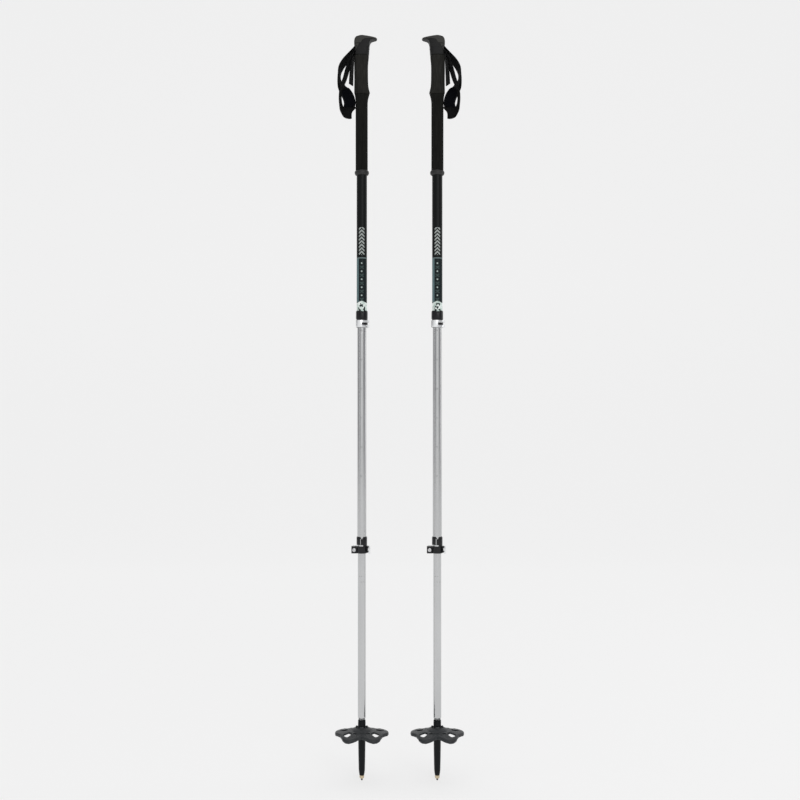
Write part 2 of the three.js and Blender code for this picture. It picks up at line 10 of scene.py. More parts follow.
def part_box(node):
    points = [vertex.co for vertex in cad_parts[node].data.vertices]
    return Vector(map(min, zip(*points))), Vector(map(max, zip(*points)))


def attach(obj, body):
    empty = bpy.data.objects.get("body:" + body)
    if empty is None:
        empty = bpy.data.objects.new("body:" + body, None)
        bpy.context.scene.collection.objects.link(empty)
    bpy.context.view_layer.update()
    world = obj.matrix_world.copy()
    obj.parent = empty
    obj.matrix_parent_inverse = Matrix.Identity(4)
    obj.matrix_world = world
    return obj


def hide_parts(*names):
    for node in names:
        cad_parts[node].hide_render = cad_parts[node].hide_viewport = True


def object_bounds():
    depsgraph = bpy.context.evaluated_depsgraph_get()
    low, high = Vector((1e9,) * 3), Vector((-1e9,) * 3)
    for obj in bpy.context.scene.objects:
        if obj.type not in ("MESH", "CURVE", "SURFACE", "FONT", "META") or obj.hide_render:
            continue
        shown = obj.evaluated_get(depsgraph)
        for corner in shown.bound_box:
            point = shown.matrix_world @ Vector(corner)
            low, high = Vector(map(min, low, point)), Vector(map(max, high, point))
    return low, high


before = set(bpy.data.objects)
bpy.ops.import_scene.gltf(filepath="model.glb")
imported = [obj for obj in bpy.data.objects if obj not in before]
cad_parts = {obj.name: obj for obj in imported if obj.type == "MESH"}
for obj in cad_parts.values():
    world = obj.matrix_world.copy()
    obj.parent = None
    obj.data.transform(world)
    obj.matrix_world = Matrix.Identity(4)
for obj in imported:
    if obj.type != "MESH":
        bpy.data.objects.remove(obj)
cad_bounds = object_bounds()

MM = 0.001
SIDES = ("left", "right")


def to_mm(corner):
    return Vector(corner) / MM


# ------------------------------------------------------------ places taken from the frame
TOP = to_mm(cad_bounds[1]).z
BOX = {node: [to_mm(corner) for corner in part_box(node)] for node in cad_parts}
POLE_X = {side: (BOX[f"{side}_carbide_tip"][0].x + BOX[f"{side}_carbide_tip"][1].x) / 2 for side in SIDES}
POLE = {side: (POLE_X[side], 0, 0) for side in SIDES}
FLIP = {"left": 1, "right": -1}
LOCK_TURN = {"upper": 90, "lower": 180}


def low(piece):
    return BOX[f"left_{piece}"][0].z


def high(piece):
    return BOX[f"left_{piece}"][1].z


UPPER_R, MIDDLE_R, LOWER_R = 9.0, 8.0, 7.0
UPPER_BORE, MIDDLE_BORE = 8.4, 7.4       # radii of the tubes' bores


def added(name, data):
    """A new object in the scene."""
    made = bpy.data.objects.new(name, data)
    bpy.context.scene.collection.objects.link(made)
    return made


# ------------------------------------------------------------ mesh helpers, in millimetres
def place(name, mesh, body, slot, node=None, look=None, origin=(0, 0, 0), turn=0, flip=1, smooth=30):
    """A finished piece: its mesh goes to the frame, in metres, and rides on its body."""
    move = Matrix.Translation(Vector(origin) * MM) @ Matrix.Rotation(radians(turn), 4, "Z")
    mesh.transform(move @ Matrix.Diagonal((MM * flip, MM, MM, 1)))
    if flip < 0:
        mesh.flip_normals()
    piece = added(name, mesh)
    mesh.materials.append(look or MATERIALS[slot])
    shade(mesh, smooth)
    if node:
        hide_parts(*([node] if isinstance(node, str) else node))
    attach(piece, body)
    return piece


def shade(mesh, angle):
    """Smooth faces, with edges sharper than the angle left crisp."""
    bm = bmesh.new()
    bm.from_mesh(mesh)
    for face in bm.faces:
        face.smooth = True
    for edge in bm.edges:
        edge.smooth = len(edge.link_faces) == 2 and edge.calc_face_angle(0) < radians(angle)
    bm.to_mesh(mesh)
    bm.free()


def build(points, faces):
    mesh = bpy.data.meshes.new("piece")
    mesh.from_pydata([tuple(p) for p in points], [], faces)
    mesh.validate()
    bm = bmesh.new()
    bm.from_mesh(mesh)
    bmesh.ops.remove_doubles(bm, verts=bm.verts, dist=1e-4)
    bmesh.ops.recalc_face_normals(bm, faces=bm.faces)
    bm.to_mesh(mesh)
    bm.free()
    return mesh


def rings_mesh(rings, loop=False):
    """Skin over equal rings of points: capped at both ends, or joined end to end."""
    count = len(rings[0])
    rows = len(rings) if loop else len(rings) - 1
    faces = []
    for row in range(rows):
        here, there = row * count, ((row + 1) % len(rings)) * count
        for side in range(count):
            nxt = (side + 1) % count
            faces.append((here + side, here + nxt, there + nxt, there + side))
    if not loop:
        faces.append(tuple(reversed(range(count))))
        faces.append(tuple(range(len(rings) * count - count, len(rings) * count)))
    return build([p for ring in rings for p in ring], faces)


def lathe(profile, sides=96):
    """Solid of revolution from [radius, z] corners, from axis to axis or back to its start."""
    closed = profile[0] == profile[-1]
    corners = profile[:-1] if closed else profile
    rings = [
        [(r * cos(2 * pi * i / sides), r * sin(2 * pi * i / sides), z) for i in range(sides)]
        for r, z in corners
    ]
    if closed:
        return rings_mesh(rings, loop=True)
    return rings_mesh(rings[1:-1] if corners[0][0] == 0 else rings)


def tube(inner, outer, bottom, top, edge=0.15, sides=96):
    return lathe([
        (inner, bottom), (outer - edge, bottom), (outer, bottom + edge), (outer, top - edge),
        (outer - edge, top), (inner, top), (inner, bottom),
    ], sides)


def plate(outline, bottom, top):
    return rings_mesh([[(x, y, z) for x, y in outline] for z in (bottom, top)])


def polar(radius, degrees):
    return radius * cos(radians(degrees)), radius * sin(radians(degrees))


def arc(radius, start, end, steps):
    return [polar(radius, start + (end - start) * i / steps) for i in range(steps + 1)]


def box(x, y, z):
    return plate([(x[0], y[0]), (x[1], y[0]), (x[1], y[1]), (x[0], y[1])], *z)


def turned(mesh, matrix):
    mesh.transform(matrix)
    if matrix.determinant() < 0:
        mesh.flip_normals()
    return mesh


def about_z(mesh, degrees):
    return turned(mesh, Matrix.Rotation(radians(degrees), 4, "Z"))


def along_y(mesh, x=0, z=0):
    """A piece built up +Z is laid along +Y, through (x, z)."""
    return turned(mesh, Matrix.Translation((x, 0, z)) @ Matrix.Rotation(-pi / 2, 4, "X"))


def evaluated(mesh, modify):
    """The mesh after the modifiers that modify(object) adds."""
    holder = added("holder", mesh)
    modify(holder)
    result = bpy.data.meshes.new_from_object(
        holder.evaluated_get(bpy.context.evaluated_depsgraph_get()))
    bpy.data.objects.remove(holder)
    return result


def boolean(mesh, others, operation):
    tools = [added("tool", other) for other in others]

    def modify(holder):
        for tool in tools:
            modifier = holder.modifiers.new("boolean", "BOOLEAN")
            modifier.object, modifier.operation, modifier.solver = tool, operation, "EXACT"

    result = evaluated(mesh, modify)
    for tool in tools:
        bpy.data.objects.remove(tool)
    return result


def cut(mesh, *others):
    return boolean(mesh, others, "DIFFERENCE")


def join(mesh, *others):
    return boolean(mesh, others, "UNION")


def common(mesh, *others):
    return boolean(mesh, others, "INTERSECT")


def bevelled(mesh, width, segments=2, angle=32):
    def modify(holder):
        modifier = holder.modifiers.new("bevel", "BEVEL")
        modifier.width, modifier.segments = width, segments
        modifier.limit_method, modifier.angle_limit = "ANGLE", radians(angle)
        modifier.harden_normals = False

    return evaluated(mesh, modify)


# ------------------------------------------------------------ materials
def material(name, colour, rough, metal=0.0, detail=None, **sockets):
    """Principled material. detail(nodes, links, shader, place) adds its own variation."""
    made = bpy.data.materials.new(name)
    made.use_nodes = True
    nodes, links = made.node_tree.nodes, made.node_tree.links
    shader = nodes["Principled BSDF"]
    shader.inputs["Base Color"].default_value = (*colour, 1)
    shader.inputs["Roughness"].default_value = rough
    shader.inputs["Metallic"].default_value = metal
    for socket, value in sockets.items():
        shader.inputs[socket.replace("_", " ")].default_value = value
    if detail:
        detail(nodes, links, shader, nodes.new("ShaderNodeTexCoord").outputs["Object"])
    return made


def node(nodes, links, kind, inputs=(), **settings):
    """A node with its settings and inputs: a number, a tuple or another node's output."""
    made = nodes.new(f"ShaderNode{kind}")
    for key, value in settings.items():
        setattr(made, key, value)
    for key, value in dict(inputs).items():
        if hasattr(value, "node"):
            links.new(value, made.inputs[key])
        else:
            made.inputs[key].default_value = value
    return made


def scaled(nodes, links, source, scale):
    return node(nodes, links, "Mapping", {"Vector": source, "Scale": scale}).outputs[0]


def noise(nodes, links, source, scale, detail=3.0, roughness=0.6):
    return node(nodes, links, "TexNoise", {
        "Vector": source, "Scale": scale, "Detail": detail, "Roughness": roughness,
    }).outputs["Fac"]


def ramp(nodes, links, source, low_in, high_in, low_out, high_out):
    return node(nodes, links, "MapRange", {
        "Value": source, "From Min": low_in, "From Max": high_in, "To Min": low_out, "To Max": high_out,
    }).outputs[0]


def maths(nodes, links, operation, a, b=0.0):
    return node(nodes, links, "Math", {0: a, 1: b}, operation=operation).outputs[0]


def mixed(nodes, links, factor, a, b):
    """Colour between a and b, each a colour or an output."""
    made = node(nodes, links, "Mix", {"Factor": factor}, data_type="RGBA")
    for socket, value in (("A", a), ("B", b)):
        target = [s for s in made.inputs if s.name == socket and s.type == "RGBA"][0]
        if hasattr(value, "node"):
            links.new(value, target)
        else:
            target.default_value = (*value, 1)
    return [s for s in made.outputs if s.type == "RGBA"][0]


def bumped(nodes, links, shader, height, distance, strength=1.0):
    made = node(nodes, links, "Bump", {"Height": height, "Distance": distance, "Strength": strength})
    links.new(made.outputs[0], shader.inputs["Normal"])


def plastic_detail(scale, lift, dark=0.75):
    """Fine moulded grain with a slight unevenness of shade."""
    def detail(nodes, links, shader, source):
        base = tuple(shader.inputs["Base Color"].default_value)[:3]
        cloudy = ramp(nodes, links, noise(nodes, links, source, 60), 0.3, 0.7, 0, 1)
        shade_of = mixed(nodes, links, cloudy, tuple(dark * c for c in base), base)
        links.new(shade_of, shader.inputs["Base Color"])
        grain = noise(nodes, links, source, scale, 2.0)
        rough = shader.inputs["Roughness"].default_value
        links.new(ramp(nodes, links, grain, 0.3, 0.7, rough - 0.07, rough + 0.07),
                  shader.inputs["Roughness"])
        bumped(nodes, links, shader, grain, lift)
    return detail


def foam_detail(nodes, links, shader, source):
    """Closed-cell foam: small pits, drawn out along the pole, and soft mottling."""
    base = tuple(shader.inputs["Base Color"].default_value)[:3]
    drawn = scaled(nodes, links, source, (1, 1, 0.35))
    pits = node(nodes, links, "TexVoronoi", {"Vector": drawn, "Scale": 1500}).outputs["Distance"]
    streaks = noise(nodes, links, scaled(nodes, links, source, (1, 1, 0.12)), 420, 4)
    mottled = mixed(nodes, links, ramp(nodes, links, streaks, 0.3, 0.72, 0, 1),
                    tuple(0.6 * c for c in base), tuple(1.45 * c for c in base))
    links.new(mottled, shader.inputs["Base Color"])
    height = maths(nodes, links, "ADD", maths(nodes, links, "MULTIPLY", streaks, 0.8), pits)
    bumped(nodes, links, shader, height, 0.00025, 0.8)


def weave_detail(pitch, lift, crest_sheen=2.3):
    """Plain webbing weave from crossed waves, wider across than along."""
    def detail(nodes, links, shader, source):
        base = tuple(shader.inputs["Base Color"].default_value)[:3]
        split = node(nodes, links, "SeparateXYZ", {"Vector": source})
        side = maths(nodes, links, "ADD", split.outputs["X"], split.outputs["Y"])
        waves = [
            maths(nodes, links, "SINE", maths(nodes, links, "MULTIPLY", axis, 2 * pi / pitch))
            for axis in (side, split.outputs["Z"])
        ]
        weave = maths(nodes, links, "MULTIPLY", waves[0], waves[1])
        height = ramp(nodes, links, weave, -1, 1, 0, 1)
        fibres = noise(nodes, links, source, 2600, 2)
        # painted sheen: the weave's raised crests are painted lighter, broken up by random fibre tone
        light = maths(nodes, links, "MULTIPLY", height, fibres)
        colour = mixed(nodes, links, light, base, tuple(crest_sheen * c for c in base))
        links.new(colour, shader.inputs["Base Color"])
        bumped(nodes, links, shader, height, lift)
    return detail


def drawn_metal_detail(nodes, links, shader, source):
    """Drawn and anodised tube: fine lines along its length, faint handling marks."""
    base = tuple(shader.inputs["Base Color"].default_value)[:3]
    lines = noise(nodes, links, scaled(nodes, links, source, (1, 1, 0.01)), 1800, 2)
    smudges = noise(nodes, links, scaled(nodes, links, source, (1, 1, 0.3)), 35)
    links.new(mixed(nodes, links, ramp(nodes, links, smudges, 0.35, 0.7, 0, 1),
                    tuple(0.92 * c for c in base), base), shader.inputs["Base Color"])
    rough = shader.inputs["Roughness"].default_value
    both = maths(nodes, links, "ADD", maths(nodes, links, "MULTIPLY", lines, 0.14),
                 maths(nodes, links, "MULTIPLY", smudges, 0.12))
    links.new(maths(nodes, links, "ADD", both, rough - 0.12), shader.inputs["Roughness"])
    bumped(nodes, links, shader, lines, 0.00002, 0.5)


def forged_detail(nodes, links, shader, source):
    """Forged and tumbled aluminium: small dents and a brushed sheen."""
    rough = shader.inputs["Roughness"].default_value
    dents = noise(nodes, links, source, 240, 3)
    links.new(ramp(nodes, links, noise(nodes, links, source, 900), 0.3, 0.7, rough - 0.06, rough + 0.1),
              shader.inputs["Roughness"])
    bumped(nodes, links, shader, dents, 0.00012, 0.6)


MATERIALS = {
    "head_plastic": material("head_plastic", (0.011, 0.011, 0.011), 0.55,
                             detail=plastic_detail(2600, 0.0001), Specular_IOR_Level=0.22),
    "cap_rubber": material("cap_rubber", (0.042, 0.041, 0.037), 0.72,
                           detail=plastic_detail(2200, 0.00012, 0.8), Specular_IOR_Level=0.35),
    "grip_foam": material("grip_foam", (0.019, 0.0185, 0.0165), 0.95, detail=foam_detail,
                          Specular_IOR_Level=0.15),
    "extension_foam": material("extension_foam", (0.008, 0.008, 0.007), 0.95, detail=foam_detail,
                               Specular_IOR_Level=0.15),
    "ring_rubber": material("ring_rubber", (0.012, 0.012, 0.012), 0.5,
                            detail=plastic_detail(2400, 0.00008)),
    "webbing": material("webbing", (0.0028, 0.0028, 0.003), 0.85, detail=weave_detail(0.0016, 0.0004, 4.0),
                        Specular_IOR_Level=0.12),
    "strap_lining": material("strap_lining", (0.0018, 0.002, 0.0035), 0.9,
                             detail=weave_detail(0.0007, 0.0001, 1.6), Specular_IOR_Level=0.1),
    "steel": material("steel", (0.62, 0.62, 0.63), 0.3, 1.0, detail=forged_detail),
    # steel darkened to stand for the shade on the strap's cross pin inside the head: painted shade
    "shade_painted_steel": material("shade_painted_steel", (0.03, 0.03, 0.032), 0.45, 0.6, detail=forged_detail),
    "silver_tube": material("silver_tube", (0.60, 0.605, 0.61), 0.17, 1.0, detail=drawn_metal_detail),
    "lock_plastic": material("lock_plastic", (0.004, 0.004, 0.006), 0.3,
                             detail=plastic_detail(2400, 0.00006), Specular_IOR_Level=0.35),
    "lever_metal": material("lever_metal", (0.86, 0.87, 0.88), 0.26, 1.0, detail=forged_detail),
    "plug_plastic": material("plug_plastic", (0.03, 0.03, 0.032), 0.55,
                             detail=plastic_detail(2000, 0.00008)),
    "tip_plastic": material("tip_plastic", (0.0015, 0.003, 0.0045), 0.3,
                            detail=plastic_detail(1400, 0.00002), Specular_IOR_Level=0.2),
    "basket_plastic": material("basket_plastic", (0.012, 0.015, 0.018), 0.42,
                               detail=plastic_detail(1900, 0.0001)),
    "brass_insert": material("brass_insert", (0.62, 0.52, 0.36), 0.45, 0.5, detail=forged_detail),
    "carbide": material("carbide", (0.10, 0.10, 0.105), 0.35, 1.0, detail=forged_detail),
}


# ------------------------------------------------------------ stage, lights and camera
EYE_X, EYE_HEIGHT, EYE_DISTANCE = 0.0008, 0.665, 2.16
FRAME_WIDTH = 1.4        # width of the view at the poles' own plane
FLOOR_COLOUR = (0.30, 0.30, 0.30)
FLOOR_GLOW = (0.64, 0.64, 0.64)      # the floor gives off its own light, the same all over
SENSOR_WIDTH = 36
SURROUND_STRENGTH = 0.85


def make_camera():
    camera = added("camera", bpy.data.cameras.new("camera"))
    camera.data.sensor_width = SENSOR_WIDTH
    camera.data.lens = SENSOR_WIDTH * EYE_DISTANCE / FRAME_WIDTH
    camera.location = (EYE_X, -EYE_DISTANCE, EYE_HEIGHT)
    camera.rotation_euler = (pi / 2, 0, 0)
    bpy.context.scene.camera = camera


def make_light(name, at, aim, size, power, colour=(1, 1, 1)):
    lamp = bpy.data.lights.new(name, "AREA")
    lamp.shape, lamp.size, lamp.size_y = "RECTANGLE", size[0], size[1]
    lamp.energy, lamp.color = power, colour
    holder = added(name, lamp)
    holder.location = at
    holder.rotation_euler = (Vector(aim) - Vector(at)).to_track_quat("-Z", "Y").to_euler()


def make_stage():
    reach, bend, back, wall_top = 9.0, 1.2, 2.6, 7.0
    profile = [(-reach, 0.0), (back, 0.0)]
    profile += [(back + bend * sin(radians(a)), bend - bend * cos(radians(a))) for a in range(9, 91, 9)]
    profile += [(back + bend, wall_top)]
    points = [(x, y, z) for x in (-reach, reach) for y, z in profile]
    count = len(profile)
    faces = [(i, i + 1, count + i + 1, count + i) for i in range(count - 1)]
    mesh = bpy.data.meshes.new("floor")
    mesh.from_pydata(points, [], faces)
    for face in mesh.polygons:
        face.use_smooth = True
    floor = added("floor", mesh)
    mesh.materials.append(material("floor", FLOOR_COLOUR, 0.9, Specular_IOR_Level=0.1,
                                   Emission_Color=(*FLOOR_GLOW, 1), Emission_Strength=1.0))


SURROUND = [             # place from the left side to the right one, colour
    (0.0, 0.34, 0.34, 0.35), (0.18, 0.42, 0.42, 0.43), (0.34, 1.0, 1.0, 1.0), (0.68, 0.95, 0.95, 0.95),
    (0.84, 0.48, 0.48, 0.49), (1.0, 0.40, 0.40, 0.41),
]


def make_world():
    """Soft surroundings: bright in front, behind and above, about a third of that at the far sides."""
    world = bpy.data.worlds.new("world")
    world.use_nodes = True
    nodes, links = world.node_tree.nodes, world.node_tree.links
    background = nodes["Background"]
    direction = node(nodes, links, "TexCoord").outputs["Generated"]
    split = node(nodes, links, "SeparateXYZ", {"Vector": direction})
    bands = node(nodes, links, "ValToRGB", {"Fac": ramp(nodes, links, split.outputs["X"], -1, 1, 0, 1)})
    bands.color_ramp.interpolation = "EASE"
    stops = bands.color_ramp.elements
    stops[0].position, stops[0].color = 0.0, (*SURROUND[0][1:], 1)
    stops[1].position, stops[1].color = 1.0, (*SURROUND[-1][1:], 1)
    for position, *colour in SURROUND[1:-1]:
        stops.new(position).color = (*colour, 1)
    links.new(bands.outputs["Color"], background.inputs["Color"])
    background.inputs["Strength"].default_value = SURROUND_STRENGTH
    bpy.context.scene.world = world
    bpy.context.scene.view_settings.view_transform = "Standard"


make_camera()
make_world()
make_stage()
make_light("key", (0.9, -2.4, 1.9), (0, 0, 0.75), (1.2, 1.6), 12)
make_light("left_fill", (-2.4, -1.0, 1.4), (0, 0, 0.7), (0.5, 2.0), 2.5)
make_light("right_edge", (2.2, 0.4, 1.4), (0, 0, 0.7), (0.7, 2.0), 5)


# ------------------------------------------------------------ printed marks on the tubes
CHEVRON_TOP, CHEVRON_FOOT = 838.0, 820.0
PANEL_FOOT, PANEL_TOP = 836.0, 913.6
DOT_TOP, DOT_PITCH = 903.5, 14.0
BARS_FOOT, BARS_TOP = 918.0, 966.0


def black_tube_material(side):
    """Black anodised tube, printed in front: bent bars, then a panel of dots and arcs, and a pale facetted
    peak at its foot. A pale band down the panel's left side is a painted highlight."""
    def detail(nodes, links, shader, source):
        drawn_metal_detail(nodes, links, shader, source)
        split = node(nodes, links, "SeparateXYZ", {"Vector": source})
        across = maths(nodes, links, "SUBTRACT", maths(nodes, links, "DIVIDE", split.outputs["X"], MM),
                       POLE_X[side])
        height = maths(nodes, links, "DIVIDE", split.outputs["Z"], MM)
        wide = maths(nodes, links, "ABSOLUTE", across)
        front = maths(nodes, links, "LESS_THAN", split.outputs["Y"], 0.0)

        def all_of(first, *others):
            for other in others:
                first = maths(nodes, links, "MULTIPLY", first, other)
            return first

        def under(value, limit):
            return maths(nodes, links, "LESS_THAN", value, limit)

        def between(value, bottom, top):
            return all_of(under(value, top), maths(nodes, links, "GREATER_THAN", value, bottom))

        panel = all_of(front, between(height, PANEL_FOOT, PANEL_TOP))
        # painted highlight: a pale band down the left edge of the panel, fixed to the tube
        painted_highlight = all_of(panel, between(across, -8.98, -5.2))
        phase = maths(nodes, links, "PINGPONG", maths(nodes, links, "SUBTRACT", height, DOT_TOP),
                      DOT_PITCH / 2)
        bow = maths(nodes, links, "ADD", phase, maths(nodes, links, "MULTIPLY", wide, 0.4))
        arcs = all_of(panel, between(bow, 5.6, 7.0), under(wide, 3.6), under(height, DOT_TOP + 2))
        line = all_of(front, between(height, PANEL_TOP - 1.8, PANEL_TOP), under(wide, 8.2))
        dots = all_of(panel, under(phase, 1.2), under(wide, 1.2), under(height, DOT_TOP + 2))
        zigzag = maths(nodes, links, "PINGPONG", maths(nodes, links, "ADD", height, wide), 3.1)
        bars = all_of(front, between(zigzag, 0.2, 1.5), under(wide, 4.8),
                      between(height, BARS_FOOT, BARS_TOP))
        ground = tuple(shader.inputs["Base Color"].default_value)[:3]
        for mask, colour in ((panel, (0.0045, 0.0105, 0.012)), (painted_highlight, (0.12, 0.19, 0.20)),
                             (arcs, (0.05, 0.08, 0.075)), (line, (0.16, 0.21, 0.21)),
                             (dots, (0.42, 0.50, 0.47)), (bars, (0.46, 0.50, 0.48))):
            ground = mixed(nodes, links, mask, ground, colour)
        peak = maths(nodes, links, "SUBTRACT", CHEVRON_TOP, maths(nodes, links, "MULTIPLY", wide, 0.42))
        chevron = all_of(front, under(height, peak),
                         maths(nodes, links, "GREATER_THAN", height, CHEVRON_FOOT))
        cells = node(nodes, links, "TexVoronoi", {"Vector": source, "Scale": 260}).outputs["Color"]
        shades = node(nodes, links, "SeparateColor", {"Color": cells})
        pale = mixed(nodes, links, shades.outputs[1], (0.90, 0.96, 0.93), (0.46, 0.58, 0.53))
        dark = all_of(under(shades.outputs[0], 0.36), under(wide, 6.0),
                      under(height, CHEVRON_TOP - 4))
        pale = mixed(nodes, links, dark, pale, (0.02, 0.03, 0.03))
        links.new(mixed(nodes, links, chevron, ground, pale), shader.inputs["Base Color"])
    return material(f"{side}_black_tube", (0.0015, 0.0026, 0.0028), 0.4, 0.0, detail=detail,
                    Specular_IOR_Level=0.2)


TICK_TOP, TICK_PITCH = 784.4, 50.8
STROKE_FOOT, STROKE_MIDDLE, STROKE_TOP, STROKE_LEAN = 347.0, 352.2, 357.5, 0.42
TICK_LENGTHS = (130, 125, 120, 115, 110, 105)
INK = material("ink", (0.06, 0.06, 0.06), 0.6, detail=plastic_detail(2500, 0.00001))


def wrapped(outline_mesh, radius, turn):
    """A flat mesh in X and Z is laid on a cylinder, facing the angle turn."""
    for vertex in outline_mesh.vertices:
        x, y, z = vertex.co
        angle = radians(turn) + x / radius
        reach = radius - y
        vertex.co = (reach * cos(angle), reach * sin(angle), z)
    return outline_mesh


def lettering(text, size):
    curve = bpy.data.curves.new("digits", "FONT")
    curve.body, curve.size, curve.extrude = text, size, 0.02
    curve.align_x, curve.align_y = "CENTER", "CENTER"
    holder = added("digits", curve)
    mesh = bpy.data.meshes.new_from_object(
        holder.evaluated_get(bpy.context.evaluated_depsgraph_get()))
    bpy.data.objects.remove(holder)
    return turned(mesh, Matrix.Rotation(pi / 2, 4, "X"))


def merged(meshes):
    bm = bmesh.new()
    for mesh in meshes:
        bm.from_mesh(mesh)
    result = bpy.data.meshes.new("merged")
    bm.to_mesh(result)
    bm.free()
    return result


def length_marks(side):
    marks = []
    for row, length in enumerate(TICK_LENGTHS):
        z = TICK_TOP - row * TICK_PITCH
        tick = plate([(-1.6, -0.05), (1.6, -0.05), (1.6, 0.02), (-1.6, 0.02)], z - 0.3, z + 0.3)
        digits = lettering(str(length), 2.6)
        digits.transform(Matrix.Translation((0, 0, z + 2.1)))
        marks += [wrapped(mesh, MIDDLE_R + 0.02, -97) for mesh in (tick, digits)]
    place(f"{side}_length_marks", merged(marks), f"{side}_middle_section", "plug_plastic",
          look=INK, origin=POLE[side])


def slanted_marks(side):
    """Two plain slanted strokes low on the lower tube."""
    strokes = []
    for shift in (-2.4, 2.0):
        stroke = plate([(-0.8, -0.05), (0.8, -0.05), (0.8, 0.02), (-0.8, 0.02)],
                       STROKE_FOOT, STROKE_TOP)
        for vertex in stroke.vertices:
            vertex.co.x += shift - (vertex.co.z - STROKE_MIDDLE) * STROKE_LEAN
        strokes.append(wrapped(stroke, LOWER_R + 0.02, -88))
    place(f"{side}_slanted_marks", merged(strokes), f"{side}_lower_section", "plug_plastic",
          look=INK, origin=POLE[side])


# ------------------------------------------------------------ tubes
def tubes(side):
    grip, middle, lower = (f"{side}_{name}_section" for name in ("grip", "middle", "lower"))
    place(f"{side}_upper_tube",
          tube(UPPER_BORE, UPPER_R, low("upper_shaft"), high("upper_shaft")), grip,
          "black_tube", f"{side}_upper_shaft", look=black_tube_material(side), origin=POLE[side])
    place(f"{side}_middle_tube",
          tube(MIDDLE_BORE, MIDDLE_R, low("middle_shaft"), high("middle_shaft")), middle, "silver_tube",
          f"{side}_middle_shaft", origin=POLE[side])
    foot, top = low("lower_shaft"), high("lower_shaft")
    neck = high("tip_ferrule")
    lower_profile = [
        (4.7, foot), (5.3, foot), (5.3, neck - 1), (5.6, neck), (6.6, neck + 3.4), (6.9, neck + 4.6),
        (LOWER_R, neck + 6), (LOWER_R, top - 0.1), (6.9, top), (6.4, top), (6.4, neck + 5),
        (4.7, neck - 1), (4.7, foot),
    ]
    place(f"{side}_lower_tube", lathe(lower_profile), lower, "silver_tube",
          f"{side}_lower_shaft", origin=POLE[side])
    length_marks(side)
    slanted_marks(side)
    for section, bore, neck_r in (("middle", UPPER_BORE, MIDDLE_R), ("lower", MIDDLE_BORE, LOWER_R)):
        base, crown = low(f"{section}_shaft_plug"), high(f"{section}_shaft_plug")
        inner, outer = neck_r - 0.9, bore - 0.25
        seat = crown - 16.7
        profile = [(0, base), (inner - 0.4, base), (inner, base + 0.4), (inner, seat), (outer - 0.3, seat)]
        for groove in range(3):
            z = seat + 1.2 + groove * 4
            profile += [(outer, z), (outer, z + 2.4), (outer - 0.7, z + 2.8), (outer - 0.7, z + 3.6)]
        profile += [(outer, seat + 13.6), (outer - 1.4, crown - 0.4), (outer - 1.9, crown), (0, crown)]
        place(f"{side}_{section}_guide_plug", lathe(profile, 64), f"{side}_{section}_guide",
              "plug_plastic", f"{side}_{section}_shaft_plug", origin=POLE[side])


# ------------------------------------------------------------ grip
def grip_ring(z, rear, front, half, square=2.3, sides=72):
    """An oval section with its own rear and front reach, softly squared."""
    def soft(value):
        return (1 if value >= 0 else -1) * abs(value) ** (2 / square)

    centre, reach = (front - rear) / 2, (front + rear) / 2
    return [
        (centre + reach * soft(cos(2 * pi * i / sides)), half * soft(sin(2 * pi * i / sides)), z)
        for i in range(sides)
    ]


def smooth_stations(stations, steps=6):
    """Rows between the stations, on a smooth curve through each of their values."""
    rows = []
    last = len(stations) - 1
    for i in range(last):
        before, a, b, after = (stations[min(max(k, 0), last)] for k in (i - 1, i, i + 1, i + 2))
        for step in range(steps):
            t = step / steps
            rows.append([
                0.5 * (2 * q + (r - p) * t + (2 * p - 5 * q + 4 * r - s) * t * t
                       + (3 * q - p - 3 * r + s) * t ** 3)
                for p, q, r, s in zip(before, a, b, after)
            ])
    rows.append(list(stations[last]))
    return rows


def grip_loft(stations, steps=6):
    return rings_mesh([grip_ring(*row) for row in smooth_stations(stations, steps)])


FOAM_FOOT, FOAM_HEAD = low("grip_foam"), high("grip_foam")
FOAM = [                 # z, rear, front, half width, squareness
    (FOAM_FOOT, 12.2, 12.9, 12.6, 2.3), (FOAM_FOOT + 1.4, 13.0, 13.7, 13.2, 2.3),
    (1202.6, 13.3, 14.0, 13.4, 2.3), (1205.5, 13.3, 13.2, 13.1, 2.3), (1214, 13.2, 11.5, 12.2, 2.3),
    (1226, 13.1, 10.9, 11.9, 2.3), (1238, 13.3, 10.8, 12.0, 2.3), (1250, 13.3, 10.9, 12.2, 2.35),
    (1261, 13.2, 11.9, 12.4, 2.45), (FOAM_HEAD - 1, 13.2, 12.2, 12.5, 2.5),
    (FOAM_HEAD, 12.8, 11.8, 12.1, 2.5),
]
EXTENSION_FOOT, EXTENSION_HEAD = low("extension_foam"), high("extension_foam")
EXTENSION = [
    (EXTENSION_FOOT, 10.4, 9.9, 10.3, 2.2), (EXTENSION_FOOT + 1, 10.8, 10.3, 10.7, 2.2),
    (1110, 10.85, 10.3, 10.7, 2.2), (1150, 10.85, 10.3, 10.7, 2.2), (1180, 10.9, 10.3, 10.8, 2.2),
    (1188, 11.0, 10.7, 11.1, 2.25), (1194, 11.6, 11.7, 11.8, 2.3), (1197.4, 12.2, 12.7, 12.5, 2.3),
    (EXTENSION_HEAD - 0.8, 12.3, 12.9, 12.6, 2.3), (EXTENSION_HEAD, 11.6, 12.2, 11.9, 2.3),
]
FOAM_BORE = UPPER_R + 0.3


